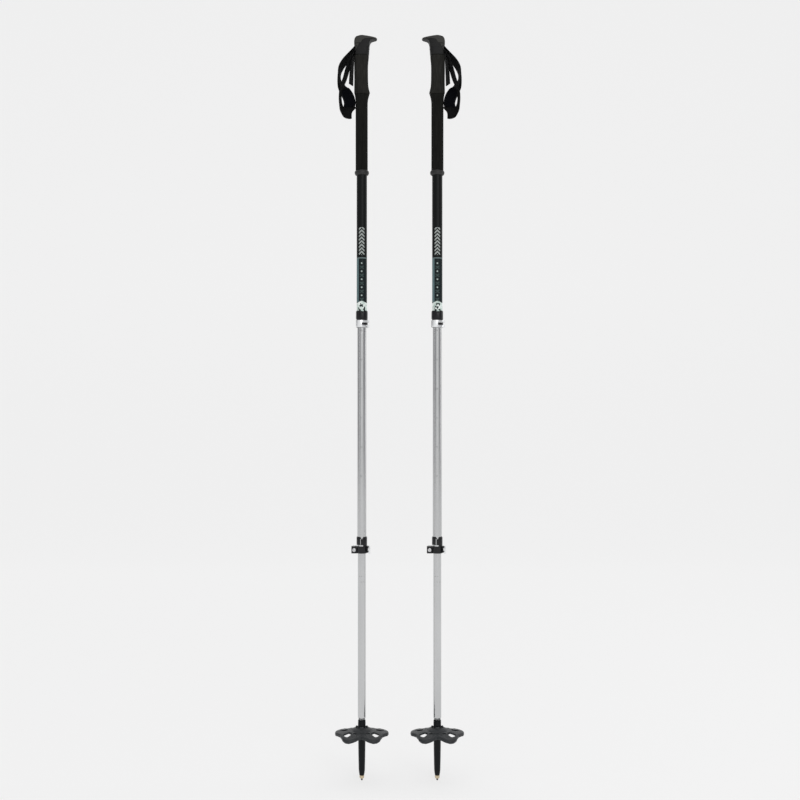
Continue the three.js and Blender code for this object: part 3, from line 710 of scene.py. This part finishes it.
def foams(side):
    for name, stations in (("grip_foam", FOAM), ("extension_foam", EXTENSION)):
        mesh = cut(grip_loft(stations), lathe([(0, 1000), (FOAM_BORE, 1000), (FOAM_BORE, 1300), (0, 1300)]))
        piece = place(f"{side}_{name}_sleeve", mesh, f"{side}_grip_section", name,
                      f"{side}_{name}", origin=POLE[side], flip=FLIP[side], smooth=50)
    foot = low("foam_end_ring")
    ring = lathe([
        (FOAM_BORE, foot), (10.6, foot), (11.3, foot + 0.5), (12.2, foot + 2.2), (12.5, foot + 3.8),
        (12.5, foot + 5.4), (12.2, foot + 6.4), (11.3, foot + 7.6), (10.7, foot + 8.4),
        (10.6, foot + 9), (FOAM_BORE, foot + 9), (FOAM_BORE, foot),
    ])
    place(f"{side}_foam_ring", ring, f"{side}_grip_section", "ring_rubber",
          f"{side}_foam_end_ring", origin=POLE[side])


HEAD_FOOT = high("grip_foam") + 0.6
PIN_X, PIN_Z = -9.3, (BOX["left_strap_pin"][0].z + BOX["left_strap_pin"][1].z) / 2
EYE_HALF = 10.6


def rounded(points, radius, steps=5):
    """Outline with each corner turned into a small arc."""
    result = []
    for i in range(len(points)):
        here, before, after = (Vector(points[k % len(points)]) for k in (i, i - 1, i + 1))
        pull = [
            (other - here).normalized() * min(radius, (other - here).length * 0.45)
            for other in (before, after)
        ]
        for step in range(steps + 1):
            t = step / steps
            point = here + pull[0] * (1 - t) ** 2 + pull[1] * t ** 2
            result.append((point.x, point.y))
    return result


def slab(outline, near, far):
    """Outline in X and Z, from one Y to another."""
    return rings_mesh([[(x, y, z) for x, z in outline] for y in (near, far)])


HOOK_SIDE = [
    (-9.6, TOP - 1.9), (-3, TOP - 0.3), (1, TOP), (14, TOP - 1.5), (25.4, TOP - 2.7), (27, TOP - 3.9),
    (26, TOP - 5.3), (19.6, TOP - 5.7), (16, TOP - 7), (14.2, TOP - 10), (13.3, TOP - 14), (13.2, TOP - 20),
    (-12.6, TOP - 20), (-12.6, TOP - 17.6), (-13.3, TOP - 14), (-13.3, TOP - 8.4), (-12, TOP - 4.6),
]
HOOK_TOP = [
    (-13.4, -6), (-12.6, -10), (-10, -12.6), (-4, -13.6), (4, -13.7), (12, -12.6), (20, -10),
    (25, -6.6), (27, -2.4), (27, 2.4), (25, 6.6), (20, 10), (12, 12.6), (4, 13.7), (-4, 13.6),
    (-10, 12.6), (-12.6, 10), (-13.4, 6),
]
NECK = [
    (HEAD_FOOT, 12.6, 11.8, 12.1, 2.6), (HEAD_FOOT + 0.6, 13.1, 12.3, 12.5, 2.6),
    (1272, 12.8, 12.8, 13.0, 3.4), (1281, 12.5, 13.2, 13.4, 4), (1285, 12.9, 13.2, 13.5, 4),
]
WEDGE = [(-14, 1285.4), (-4.1, 1285.9), (-12.0, 1271.9)]


def head_meshes():
    """The head, its rubber cap and the strap's wedge, cut from one outer form."""
    plan = [(x, y, z) for z in (TOP - 22, TOP + 2) for x, y in rounded(HOOK_TOP, 3)]
    count = len(plan) // 2
    hook = common(slab(rounded(HOOK_SIDE, 1.6), -16, 16), rings_mesh([plan[:count], plan[count:]]))
    whole = join(grip_loft(NECK), bevelled(hook, 1.5, 4, 40))

    # The parting line runs high round the hook, so the darker head plastic covers the hook's underside:
    # painted shade under the hook.
    def parting(rise):
        return [(-20, 1286.3 + rise), (-2.5, 1286.9 + rise), (-0.8, 1288.2 + rise), (2, 1292.4 + rise),
                (6, 1294.4 + rise), (12, 1295 + rise), (40, 1295 + rise)]

    above = slab([*parting(0.12), (40, TOP + 9), (-20, TOP + 9)], -20, 20)
    below = slab([*parting(-0.12), (40, 1200), (-20, 1200)], -20, 20)
    channel = box((-20, PIN_X + 3.55), (-EYE_HALF, EYE_HALF), (1271, PIN_Z + 3.75))
    seat = slab([(-14.6, 1285.8), (-3.3, 1286.3), (-12.1, 1271.1)], -20, 20)
    bore = turned(lathe([(0, -15), (1.5, -15), (1.5, 15), (0, 15)], 32),
                  Matrix.Translation((PIN_X, 0, PIN_Z)) @ Matrix.Rotation(pi / 2, 4, "X"))
    spigot = lathe([(0, low("grip_head")), (7.4, low("grip_head")), (8.1, low("grip_head") + 0.8),
                    (8.1, HEAD_FOOT + 2), (0, HEAD_FOOT + 2)], 64)
    copies = [whole.copy() for _ in range(3)]
    head = join(cut(common(copies[0], below), seat, channel), spigot)
    cap = common(copies[1], above)
    wedge = cut(common(copies[2], slab(WEDGE, -20, 20)), channel.copy(), bore)
    return {"grip_head": bevelled(head, 0.35), "pommel_cap": bevelled(cap, 0.4),
            "strap_wedge": bevelled(wedge, 0.2)}


def head(side):
    slots = {"grip_head": "head_plastic", "pommel_cap": "cap_rubber", "strap_wedge": "cap_rubber"}
    for name, mesh in head_meshes().items():
        place(f"{side}_{name}_shell", mesh, f"{side}_grip_section", slots[name],
              f"{side}_{name}", origin=POLE[side], flip=FLIP[side], smooth=38)
    reach = EYE_HALF + 1.2
    pin = lathe([(0, -reach), (1.0, -reach), (1.25, -reach + 0.25), (1.25, reach - 0.25), (1.0, reach),
                 (0, reach)], 32)
    # the cross pin is steel, drawn dark as painted shade where it sits in the head's channel
    place(f"{side}_cross_pin", along_y(pin, PIN_X, PIN_Z), f"{side}_grip_section", "steel",
          f"{side}_strap_pin", look=MATERIALS["shade_painted_steel"], origin=POLE[side], flip=FLIP[side])


# ------------------------------------------------------------ wrist strap
# Centre of the webbing, and the direction of its width, from its pin round the loop and back.
STRAP_ROUTE = [
    ((-15.6, 0, 1277.4), (0, 1, 0)), ((-22, 0.5, 1269), (0.12, 1, -0.1)),
    ((-30, 2, 1258), (0.32, 1, -0.24)), ((-36.5, 3.6, 1247.5), (0.3, 1, -0.16)),
    ((-39.6, 5, 1236), (0.16, 1, 0)), ((-39.4, 6.5, 1225), (0.3, 1, 0.12)),
    ((-35.6, 8.4, 1215), (0.75, 0.9, 0.4)), ((-29.5, 8, 1206), (0.8, 0.35, 0.55)),
    ((-24, 7.6, 1196.5), (0.8, 0.05, 0.5)), ((-21.2, 6.6, 1186), (0.84, 0, 0.45)),
    ((-21.9, 4.6, 1176.5), (0.68, 0, 0.68)), ((-17.6, 0.4, 1169.6), (0.42, 0, 0.86)),
    ((-19.8, -3.6, 1166.2), (0.3, 0, 0.9)), ((-25.4, -5.4, 1166.6), (0.35, -0.1, 0.85)),
    ((-32.8, -7, 1171), (0.38, 0.8, 0.4)), ((-36.2, -8.4, 1180), (0.22, 1, 0.1)),
    ((-37.4, -9.4, 1191), (0.15, 1, 0.02)), ((-36.6, -9.4, 1203), (0.12, 1, -0.03)),
    ((-33.6, -8.6, 1214), (0.14, 1, -0.05)), ((-29.4, -6.6, 1226), (0.2, 1, -0.07)),
    ((-25.6, -4, 1240), (0.24, 1, -0.08)), ((-21.2, -2, 1255), (0.16, 1, -0.05)),
    ((-16.4, 0, 1267), (0.04, 1, -0.02)), ((-12.2, 0, 1274.6), (0, 1, 0)),
]
EYE_TURN = (-60, -20, 20, 60, 100, 130)
EYE_RADIUS = 2.35        # centre of the webbing round its pin
TAIL_ROUTE = [
    ((-13.6, 0, 1275.2), (0, 1, 0)), ((-16.4, 4, 1262), (0.2, 1, 0)),
    ((-18, 7.6, 1244), (0.28, 1, 0)), ((-19.2, 8.4, 1218.5), (0.33, 1, 0)),
]
STRAP_WIDTH, STRAP_THICK = 20.0, 1.6
PADDED = (6.6, 10.2)     # rows of the route that carry the padding


def on_route(route, t, loop):
    """Point, width direction and face direction at row t of a route."""
    def value(which, at):
        i = int(at)
        f = at - i
        rows = [route[k % len(route)] if loop else route[min(max(k, 0), len(route) - 1)]
                for k in (i - 1, i, i + 1, i + 2)]
        p, q, r, s = (Vector(row[which]) for row in rows)
        return 0.5 * (2 * q + (r - p) * f + (2 * p - 5 * q + 4 * r - s) * f * f
                      + (3 * q - p - 3 * r + s) * f ** 3)

    point = value(0, t)
    along = (value(0, t + 0.02) - value(0, max(t - 0.02, 0) if not loop else t + len(route) - 0.02))
    along.normalize()
    wide = value(1, t)
    wide = (wide - along * wide.dot(along)).normalized()
    return point, wide, along.cross(wide)


def webbing(route, places, width, thick, loop=False, offset=0.0, crown=0.0, ends=0.0):
    """A band along a route, with soft edges, a crowned face and, if wanted, tapered ends."""
    section = [(-1, 0)]
    half = [(-0.97, 1), (-0.8, 1), (-0.5, 1), (-0.17, 1), (0.17, 1), (0.5, 1), (0.8, 1), (0.97, 1)]
    section += [(u, v) for u, v in half] + [(1, 0)] + [(u, -v) for u, v in reversed(half)]
    rings = []
    for place_at in places:
        point, wide, face = on_route(route, place_at, loop)
        near_end = min(place_at - places[0], places[-1] - place_at)
        narrow = 1 - 0.12 * max(0.0, 1 - near_end / ends) ** 2 if ends else 1.0
        ring = []
        for u, v in section:
            bulge = crown * (1 - u * u) if v > 0 else 0.0
            ring.append(point + wide * (u * narrow * width / 2) + face * (v * thick / 2 + offset + bulge))
        rings.append(ring)
    return rings_mesh(rings, loop=loop and not ends)


def route_length(route, places, loop):
    points = [on_route(route, at, loop)[0] for at in places]
    pairs = zip(points, points[1:] + (points[:1] if loop else []))
    return sum((b - a).length for a, b in pairs)


def stitch(point, along, face):
    """One short thread stitch, lying on the cloth."""
    side = along.cross(face)
    rings = []
    for step, wide in ((-0.75, 0.05), (-0.5, 0.17), (0, 0.22), (0.5, 0.17), (0.75, 0.05)):
        centre = point + along * step
        rings.append([centre + side * (wide * cos(a * pi / 3)) + face * (wide * sin(a * pi / 3))
                      for a in range(6)])
    return rings_mesh(rings)


def strap(side):
    body, origin, flip = f"{side}_strap", POLE[side], FLIP[side]
    eye = [
        ((PIN_X + EYE_RADIUS * cos(radians(a)), 0, PIN_Z + EYE_RADIUS * sin(radians(a))), (0, 1, 0))
        for a in EYE_TURN
    ]
    route = STRAP_ROUTE + eye
    places = [i / 8 for i in range(len(route) * 8)]
    tail_places = [i / 10 * 0.999 for i in range(31)]
    loop = webbing(route, places, STRAP_WIDTH, STRAP_THICK, loop=True)
    tail = webbing(TAIL_ROUTE, tail_places, STRAP_WIDTH - 1, STRAP_THICK - 0.2)
    length = route_length(route, places, True)
    tail_length = route_length(TAIL_ROUTE, tail_places, False)
    band = place(f"{side}_strap_loop", loop, body, "webbing", f"{side}_wrist_strap",
                 origin=origin, flip=flip, smooth=50)
    end = place(f"{side}_strap_tail", tail, body, "webbing", origin=origin, flip=flip, smooth=50)
    padded = [PADDED[0] + (PADDED[1] - PADDED[0]) * i / 40 for i in range(41)]
    pad = webbing(route, padded, STRAP_WIDTH + 0.6, 1.3, loop=True, offset=1.55, crown=1.0, ends=0.5)
    cushion = place(f"{side}_wrist_pad", pad, body, "strap_lining", f"{side}_strap_padding",
                    origin=origin, flip=flip, smooth=60)
    threads = []
    for at in [PADDED[0] + 0.1 + i * 0.135 for i in range(26)]:
        point, wide, face = on_route(route, at, True)
        ahead = on_route(route, at + 0.03, True)[0]
        for edge in (-8.6, 8.6):
            threads.append(stitch(point + wide * edge + face * 2.45, (ahead - point).normalized(), face))
    place(f"{side}_pad_stitching", merged(threads), body, "webbing", look=THREAD,
          origin=origin, flip=flip)


THREAD = material("thread", (0.05, 0.05, 0.055), 0.7, detail=plastic_detail(3000, 0.00003))


# ------------------------------------------------------------ lever locks
LEVER_HEIGHT, BAND_HEIGHT, BAND_SLOT, SHAFT_SEAT = 12.4, 11.8, 2.8, 15.4
SCREW_X, LEVER_PIN_Y, EAR_HALF = 13.4, -8.0, 4.2
LEVER_BAR = [            # angle and radius of the lever's centreline, thinner toward its free end
    (-52, 12.5, 1.3), (-60, 12.2, 1.35), (-75, 12.1, 1.35), (-95, 12.1, 1.35), (-115, 12.1, 1.3),
    (-135, 12.1, 1.25), (-152, 12.6, 1.25), (-168, 13.2, 1.2), (-184, 14.0, 1.2), (-200, 14.8, 1.15),
    (-213, 15.5, 1.1), (-217, 15.7, 0.7),
]


def round_rod(radius, bottom, top, edge=0.2, sides=48):
    return lathe([(0, bottom), (radius - edge, bottom), (radius, bottom + edge), (radius, top - edge),
                  (radius - edge, top), (0, top)], sides)


def lever_outline():
    bar = smooth_stations(LEVER_BAR, 4)
    inside = [polar(radius - half, angle) for angle, radius, half in bar]
    outside = [polar(radius + half, angle) for angle, radius, half in reversed(bar)]
    root = [(SCREW_X + x, LEVER_PIN_Y + y) for x, y in arc(3.4, -110, 90, 16)]
    return inside + outside + root


def collar_mesh(outer, inner, height, notch):
    """Sleeve, slit clamp band and ears, moulded in one, with its foot at z 0."""
    bore, band, sleeve = inner + 0.35, inner + 2.3, outer + 1.25
    seam, seat, top = BAND_HEIGHT + BAND_SLOT, SHAFT_SEAT, height
    body = lathe([
        (bore, 0), (band - 1.1, 0), (band - 0.5, 0.25), (band - 0.1, 0.9), (band, 1.6),
        (band, BAND_HEIGHT - 0.3), (band + 0.1, BAND_HEIGHT), (sleeve - 0.4, seam - 0.6),
        (sleeve - 0.1, seam - 0.3), (sleeve, seam + 0.1), (sleeve, top - 2.2), (sleeve - 0.15, top - 1.4),
        (sleeve - 0.6, top - 0.5), (sleeve - 0.95, top), (outer + 0.3, top), (outer + 0.3, seat),
        (bore, seat), (bore, 0),
    ], 120)
    ears = plate(rounded([(band - 1.3, -EAR_HALF), (18.2, -EAR_HALF), (18.2, EAR_HALF),
                          (band - 1.3, EAR_HALF)], 1.3), 0, LEVER_HEIGHT)
    rest = cut(plate([(0, 0)] + arc(11, 158, 202, 12), 1, BAND_HEIGHT - 0.4),
               round_rod(band - 0.5, -5, 20))
    reach = 20.2
    middle = LEVER_HEIGHT / 2
    screw_bore = along_y(lathe([(0, -reach), (1.3, -reach), (1.3, reach), (0, reach)], 32), SCREW_X, middle)
    split = box((bore - 1, reach), (-0.8, 0.8), (-1, BAND_HEIGHT + 1))
    slot = plate([(0, 0)] + arc(reach, -58, 112, 24), BAND_HEIGHT + 0.4, seam + 0.4)
    slit = about_z(box((0, reach), (-0.9, 0.9), (BAND_HEIGHT + 1, top - 3.4)), 74)
    notches = [
        about_z(slab([(-3.8, top + 1), (3.8, top + 1), (0.5, top - 4.1), (-0.5, top - 4.1)],
                     outer - 3, reach),
                angle - 90)
        for angle in (notch, notch + 180)
    ]
    hollows = [          # moulding pockets in the top and bottom of the ears
        box((band + 1.2, 11.4), (y - 0.9, y + 0.9), span)
        for y in (-2.6, 2.6) for span in ((-1, 1.6), (LEVER_HEIGHT - 1.6, LEVER_HEIGHT + 1))
    ] if band < 10 else []
    collar = cut(join(body, ears, rest), split, screw_bore, slot, slit, *notches, *hollows)
    return bevelled(collar, 0.28, 2, 40)


def lever_mesh():
    """Forked lever: a round root about its pin, and a bar that wraps half the band."""
    middle = LEVER_HEIGHT / 2
    slot_end = -169          # angle at which the slot between the fork's arms ends
    blank = bevelled(plate(lever_outline(), 0, LEVER_HEIGHT), 0.9, 4, 50)
    bore = turned(round_rod(2.3, -2, 20, 0.01), Matrix.Translation((SCREW_X, LEVER_PIN_Y, 0)))
    fork = plate([(2, -3.5), (40, -3.5), (40, -40), (-40, -40), polar(40, slot_end), (0, 0)],
                 middle - 2.2, middle + 2.2)
    end = about_z(turned(round_rod(2.2, 4, 30, 0.01), Matrix.Translation((0, 0, middle))
                         @ Matrix.Rotation(pi / 2, 4, "Y")), slot_end)
    return bevelled(cut(blank, bore, fork, end), 0.2, 2, 50)


def screw_mesh():
    face = EAR_HALF + 0.3
    start = LEVER_PIN_Y - 0.6
    shank = [(0, start), (0.7, start), (0.98, start + 0.4)]
    z = start + 0.4
    while z < face - 3.2:
        shank += [(1.0, z + 0.1), (0.86, z + 0.3)]
        z += 0.5
    head = [(1.0, face - 2.6), (1.0, face), (3.25, face), (3.4, face + 0.15), (3.4, face + 1.1),
            (3.25, face + 1.6), (2.8, face + 2.1), (2.1, face + 2.4), (0, face + 2.4)]
    socket = plate(arc(1.55, 0, 300, 5), face + 0.7, face + 4)
    screw = cut(lathe(shank + head, 48), socket)
    return along_y(screw, SCREW_X, LEVER_HEIGHT / 2)


def pin_mesh():
    pin = turned(round_rod(2.0, 0.6, LEVER_HEIGHT - 0.6, 0.3),
                 Matrix.Translation((SCREW_X, LEVER_PIN_Y, 0)))
    hole = along_y(lathe([(0, -14), (1.3, -14), (1.3, 2), (0, 2)], 32), SCREW_X, LEVER_HEIGHT / 2)
    return cut(pin, hole)


def lock(side, name, outer, inner, notch, carrier):
    turn = LOCK_TURN[name]
    foot = low(f"{name}_lock_collar")
    where = {"origin": (POLE_X[side], 0, foot), "turn": turn}
    height = high(f"{name}_lock_collar") - foot
    pieces = (
        ("collar", collar_mesh(outer, inner, height, notch - turn), carrier, "lock_plastic", 36),
        ("lever", lever_mesh(), f"{name}_lever", "lever_metal", 34),
        ("pin", pin_mesh(), carrier, "steel", 34),
        ("screw", screw_mesh(), f"{name}_screw", "steel", 34),
    )
    for piece, mesh, body, look, angle in pieces:
        place(f"{side}_{name}_clamp_{piece}", mesh, f"{side}_{body}", look,
              f"{side}_{name}_lock_{piece}", smooth=angle, **where)


# ------------------------------------------------------------ flex tip and basket
def tip(side):
    body, where = f"{side}_lower_section", {"origin": POLE[side]}
    foot, top = low("tip_ferrule"), high("tip_ferrule")
    stem = [(2.9, foot), (3.9, foot), (4.3, foot + 0.5), (4.55, foot + 2.2), (5.0, foot + 5),
            (5.45, foot + 9), (5.8, foot + 24), (6.15, 52), (6.3, 66)]
    thread = []
    for turn in range(6):
        z = 75 + turn * 2.4
        thread += [(6.3, z), (6.62, z + 0.5), (6.62, z + 0.9), (6.3, z + 1.4)]
    collar = [(6.3, 92), (6.7, 92.8), (6.7, 94.4), (6.45, 94.8), (6.45, 95.6), (6.7, 96), (6.7, top - 3),
              (6.5, top - 2.6), (6.5, top - 2.1), (6.7, top - 1.7), (6.55, top - 0.8), (6.2, top - 0.1),
              (5.9, top - 0.4), (5.6, top - 1.4), (5.6, 61.5), (2.9, 61.5), (2.9, foot)]
    ferrule = lathe(stem + thread + collar)
    ribs = [
        about_z(box((6.5, 9), (-0.35, 0.35), (97, top - 3.6)), 30 * k) for k in range(12)
    ]
    place(f"{side}_flex_tip", cut(ferrule, *ribs), body, "tip_plastic", f"{side}_tip_ferrule", **where)
    base, crown = low("tip_insert"), high("tip_insert")
    insert = lathe([(1.5, base), (3.2, base), (3.6, base + 0.3), (3.95, base + 1.2), (4.1, base + 1.7),
                    (4.1, foot - 0.5), (3.9, foot - 0.3), (2.6, foot - 0.3), (2.6, crown), (1.5, crown),
                    (1.5, base)], 64)
    place(f"{side}_tip_holder", insert, body, "brass_insert", f"{side}_tip_insert", **where)
    point = lathe([(0, 0.5), (0.8, 0.3), (1.2, 0), (1.5, 0.15), (1.7, base - 0.5), (1.2, base - 0.3),
                   (1.2, high("carbide_tip")), (0, high("carbide_tip"))], 48)
    place(f"{side}_carbide_point", point, body, "carbide", f"{side}_carbide_tip", **where)


BASKET_REACH = [         # outline of one quarter: angle from the side, radius
    (0, 46.9), (9, 46.4), (17, 43.6), (27, 41.6), (37, 43), (45, 45.6), (54, 46.7), (62, 45.4),
    (70, 40.8), (80, 33.8), (90, 30.5),
]
BASKET_CROWN = [         # radius, height of the top face before it droops
    (7.0, 93), (10.5, 93), (16, 90.4), (17.2, 89.7), (18, 89), (24, 88.2), (30, 87.2), (36, 86.2),
    (42, 85.2), (45, 84.5), (48, 83.6),
]
BASKET_RADIUS, BASKET_DROOP = 47, 8
BASKET_TOP = high("basket")


def at(table, where):
    """Value of a table at a place, on straight lines between its rows."""
    for (a, p), (b, q) in zip(table, table[1:]):
        if where <= b:
            return p + (q - p) * max(0.0, where - a) / (b - a)
    return table[-1][1]


def basket_section(degrees):
    """Section of the basket's shell at an angle: a thin web, and a deep rounded rim."""
    folded = degrees % 180
    reach = at(BASKET_REACH, min(folded, 180 - folded))
    rib = max(0.0, cos(radians(degrees) * 10)) ** 6 * 0.35
    upper, under = [], []
    for step in range(19):
        r = 9.2 + (reach - 2.2 - 9.2) * step / 18
        crown = at(BASKET_CROWN, r)
        bead = max(0.0, 1 - abs(r - (reach - 3.6)) / 2.4)
        groove = 0.9 * max(0.0, 1 - abs(r - 18.6) / 1.3)
        thick = 3.0 + 1.2 * max(0.0, 1 - (reach - r) / 6)
        upper.append((r, crown + 0.5 * bead - groove + rib * (1 if 20 < r < reach - 4 else 0)))
        under.append((r, crown - thick))
    edge = at(BASKET_CROWN, reach)
    lip = [(reach - 1.2, edge + 0.5), (reach - 0.4, edge - 0.1), (reach, edge - 1.1), (reach, edge - 3.9),
           (reach - 0.4, edge - 4.8), (reach - 1.2, edge - 5.2), (reach - 2.2, edge - 5.0)]
    return upper + lip + under[::-1]


def basket_mesh():
    sides = 240
    rings = []
    for i in range(sides):
        angle = 360 * i / sides
        x, y = polar(1, angle)
        rings.append([
            (r * x, r * y, z - BASKET_DROOP * (r * y / BASKET_RADIUS) ** 2)
            for r, z in basket_section(angle)
        ])
    shell = rings_mesh(rings, loop=True)
    hub = lathe([(7, 74), (9.3, 74), (9.8, 74.5), (9.8, 92.6), (7, 92.6), (7, 74)], 96)
    wall = lathe([(7, 88), (11, 88), (11, 93.8), (10, BASKET_TOP), (7, BASKET_TOP), (7, 88)], 96)
    holes = []
    for middle in (41, 139, 221, 319):
        spread = (-10.5, -4, 4, 10.5)
        outline = [polar(39.8 - abs(step) * 0.2, middle + step) for step in spread]
        outline += [polar(25.5, middle + step) for step in reversed(spread)]
        holes.append(plate(rounded(outline, 4, 6), 60, 110))
    gaps = [about_z(box((0, 20), (-4.4, 4.4), (BASKET_TOP - 2, 110)), a) for a in (45, 135, 225, 315)]
    pockets = []             # dark grooves that don't go through
    for angles, outer, inner, wide, taper, floor in (
        ((0, 180), 39, 25, 9, -1, 85.2), ((63, 117, 243, 297), 36, 22, 8, 1, 85.7),
    ):
        for middle in angles:
            outline = [polar(outer, middle - wide), polar(outer, middle + wide),
                       polar(inner, middle + wide + taper), polar(inner, middle - wide - taper)]
            pockets.append(plate(rounded(outline, 2.2, 5), floor, 110))
    return bevelled(cut(join(shell, hub, wall), *holes, *gaps, *pockets), 0.3, 2, 45)


def basket(side):
    place(f"{side}_trail_basket", basket_mesh(), f"{side}_lower_section", "basket_plastic",
          f"{side}_basket", origin=POLE[side], smooth=40)


# ------------------------------------------------------------ the pair
for side in SIDES:
    tubes(side)
    foams(side)
    head(side)
    strap(side)
    lock(side, "upper", UPPER_R, MIDDLE_R, -81, "grip_section")
    lock(side, "lower", MIDDLE_R, LOWER_R, -88, "middle_section")
    tip(side)
    basket(side)
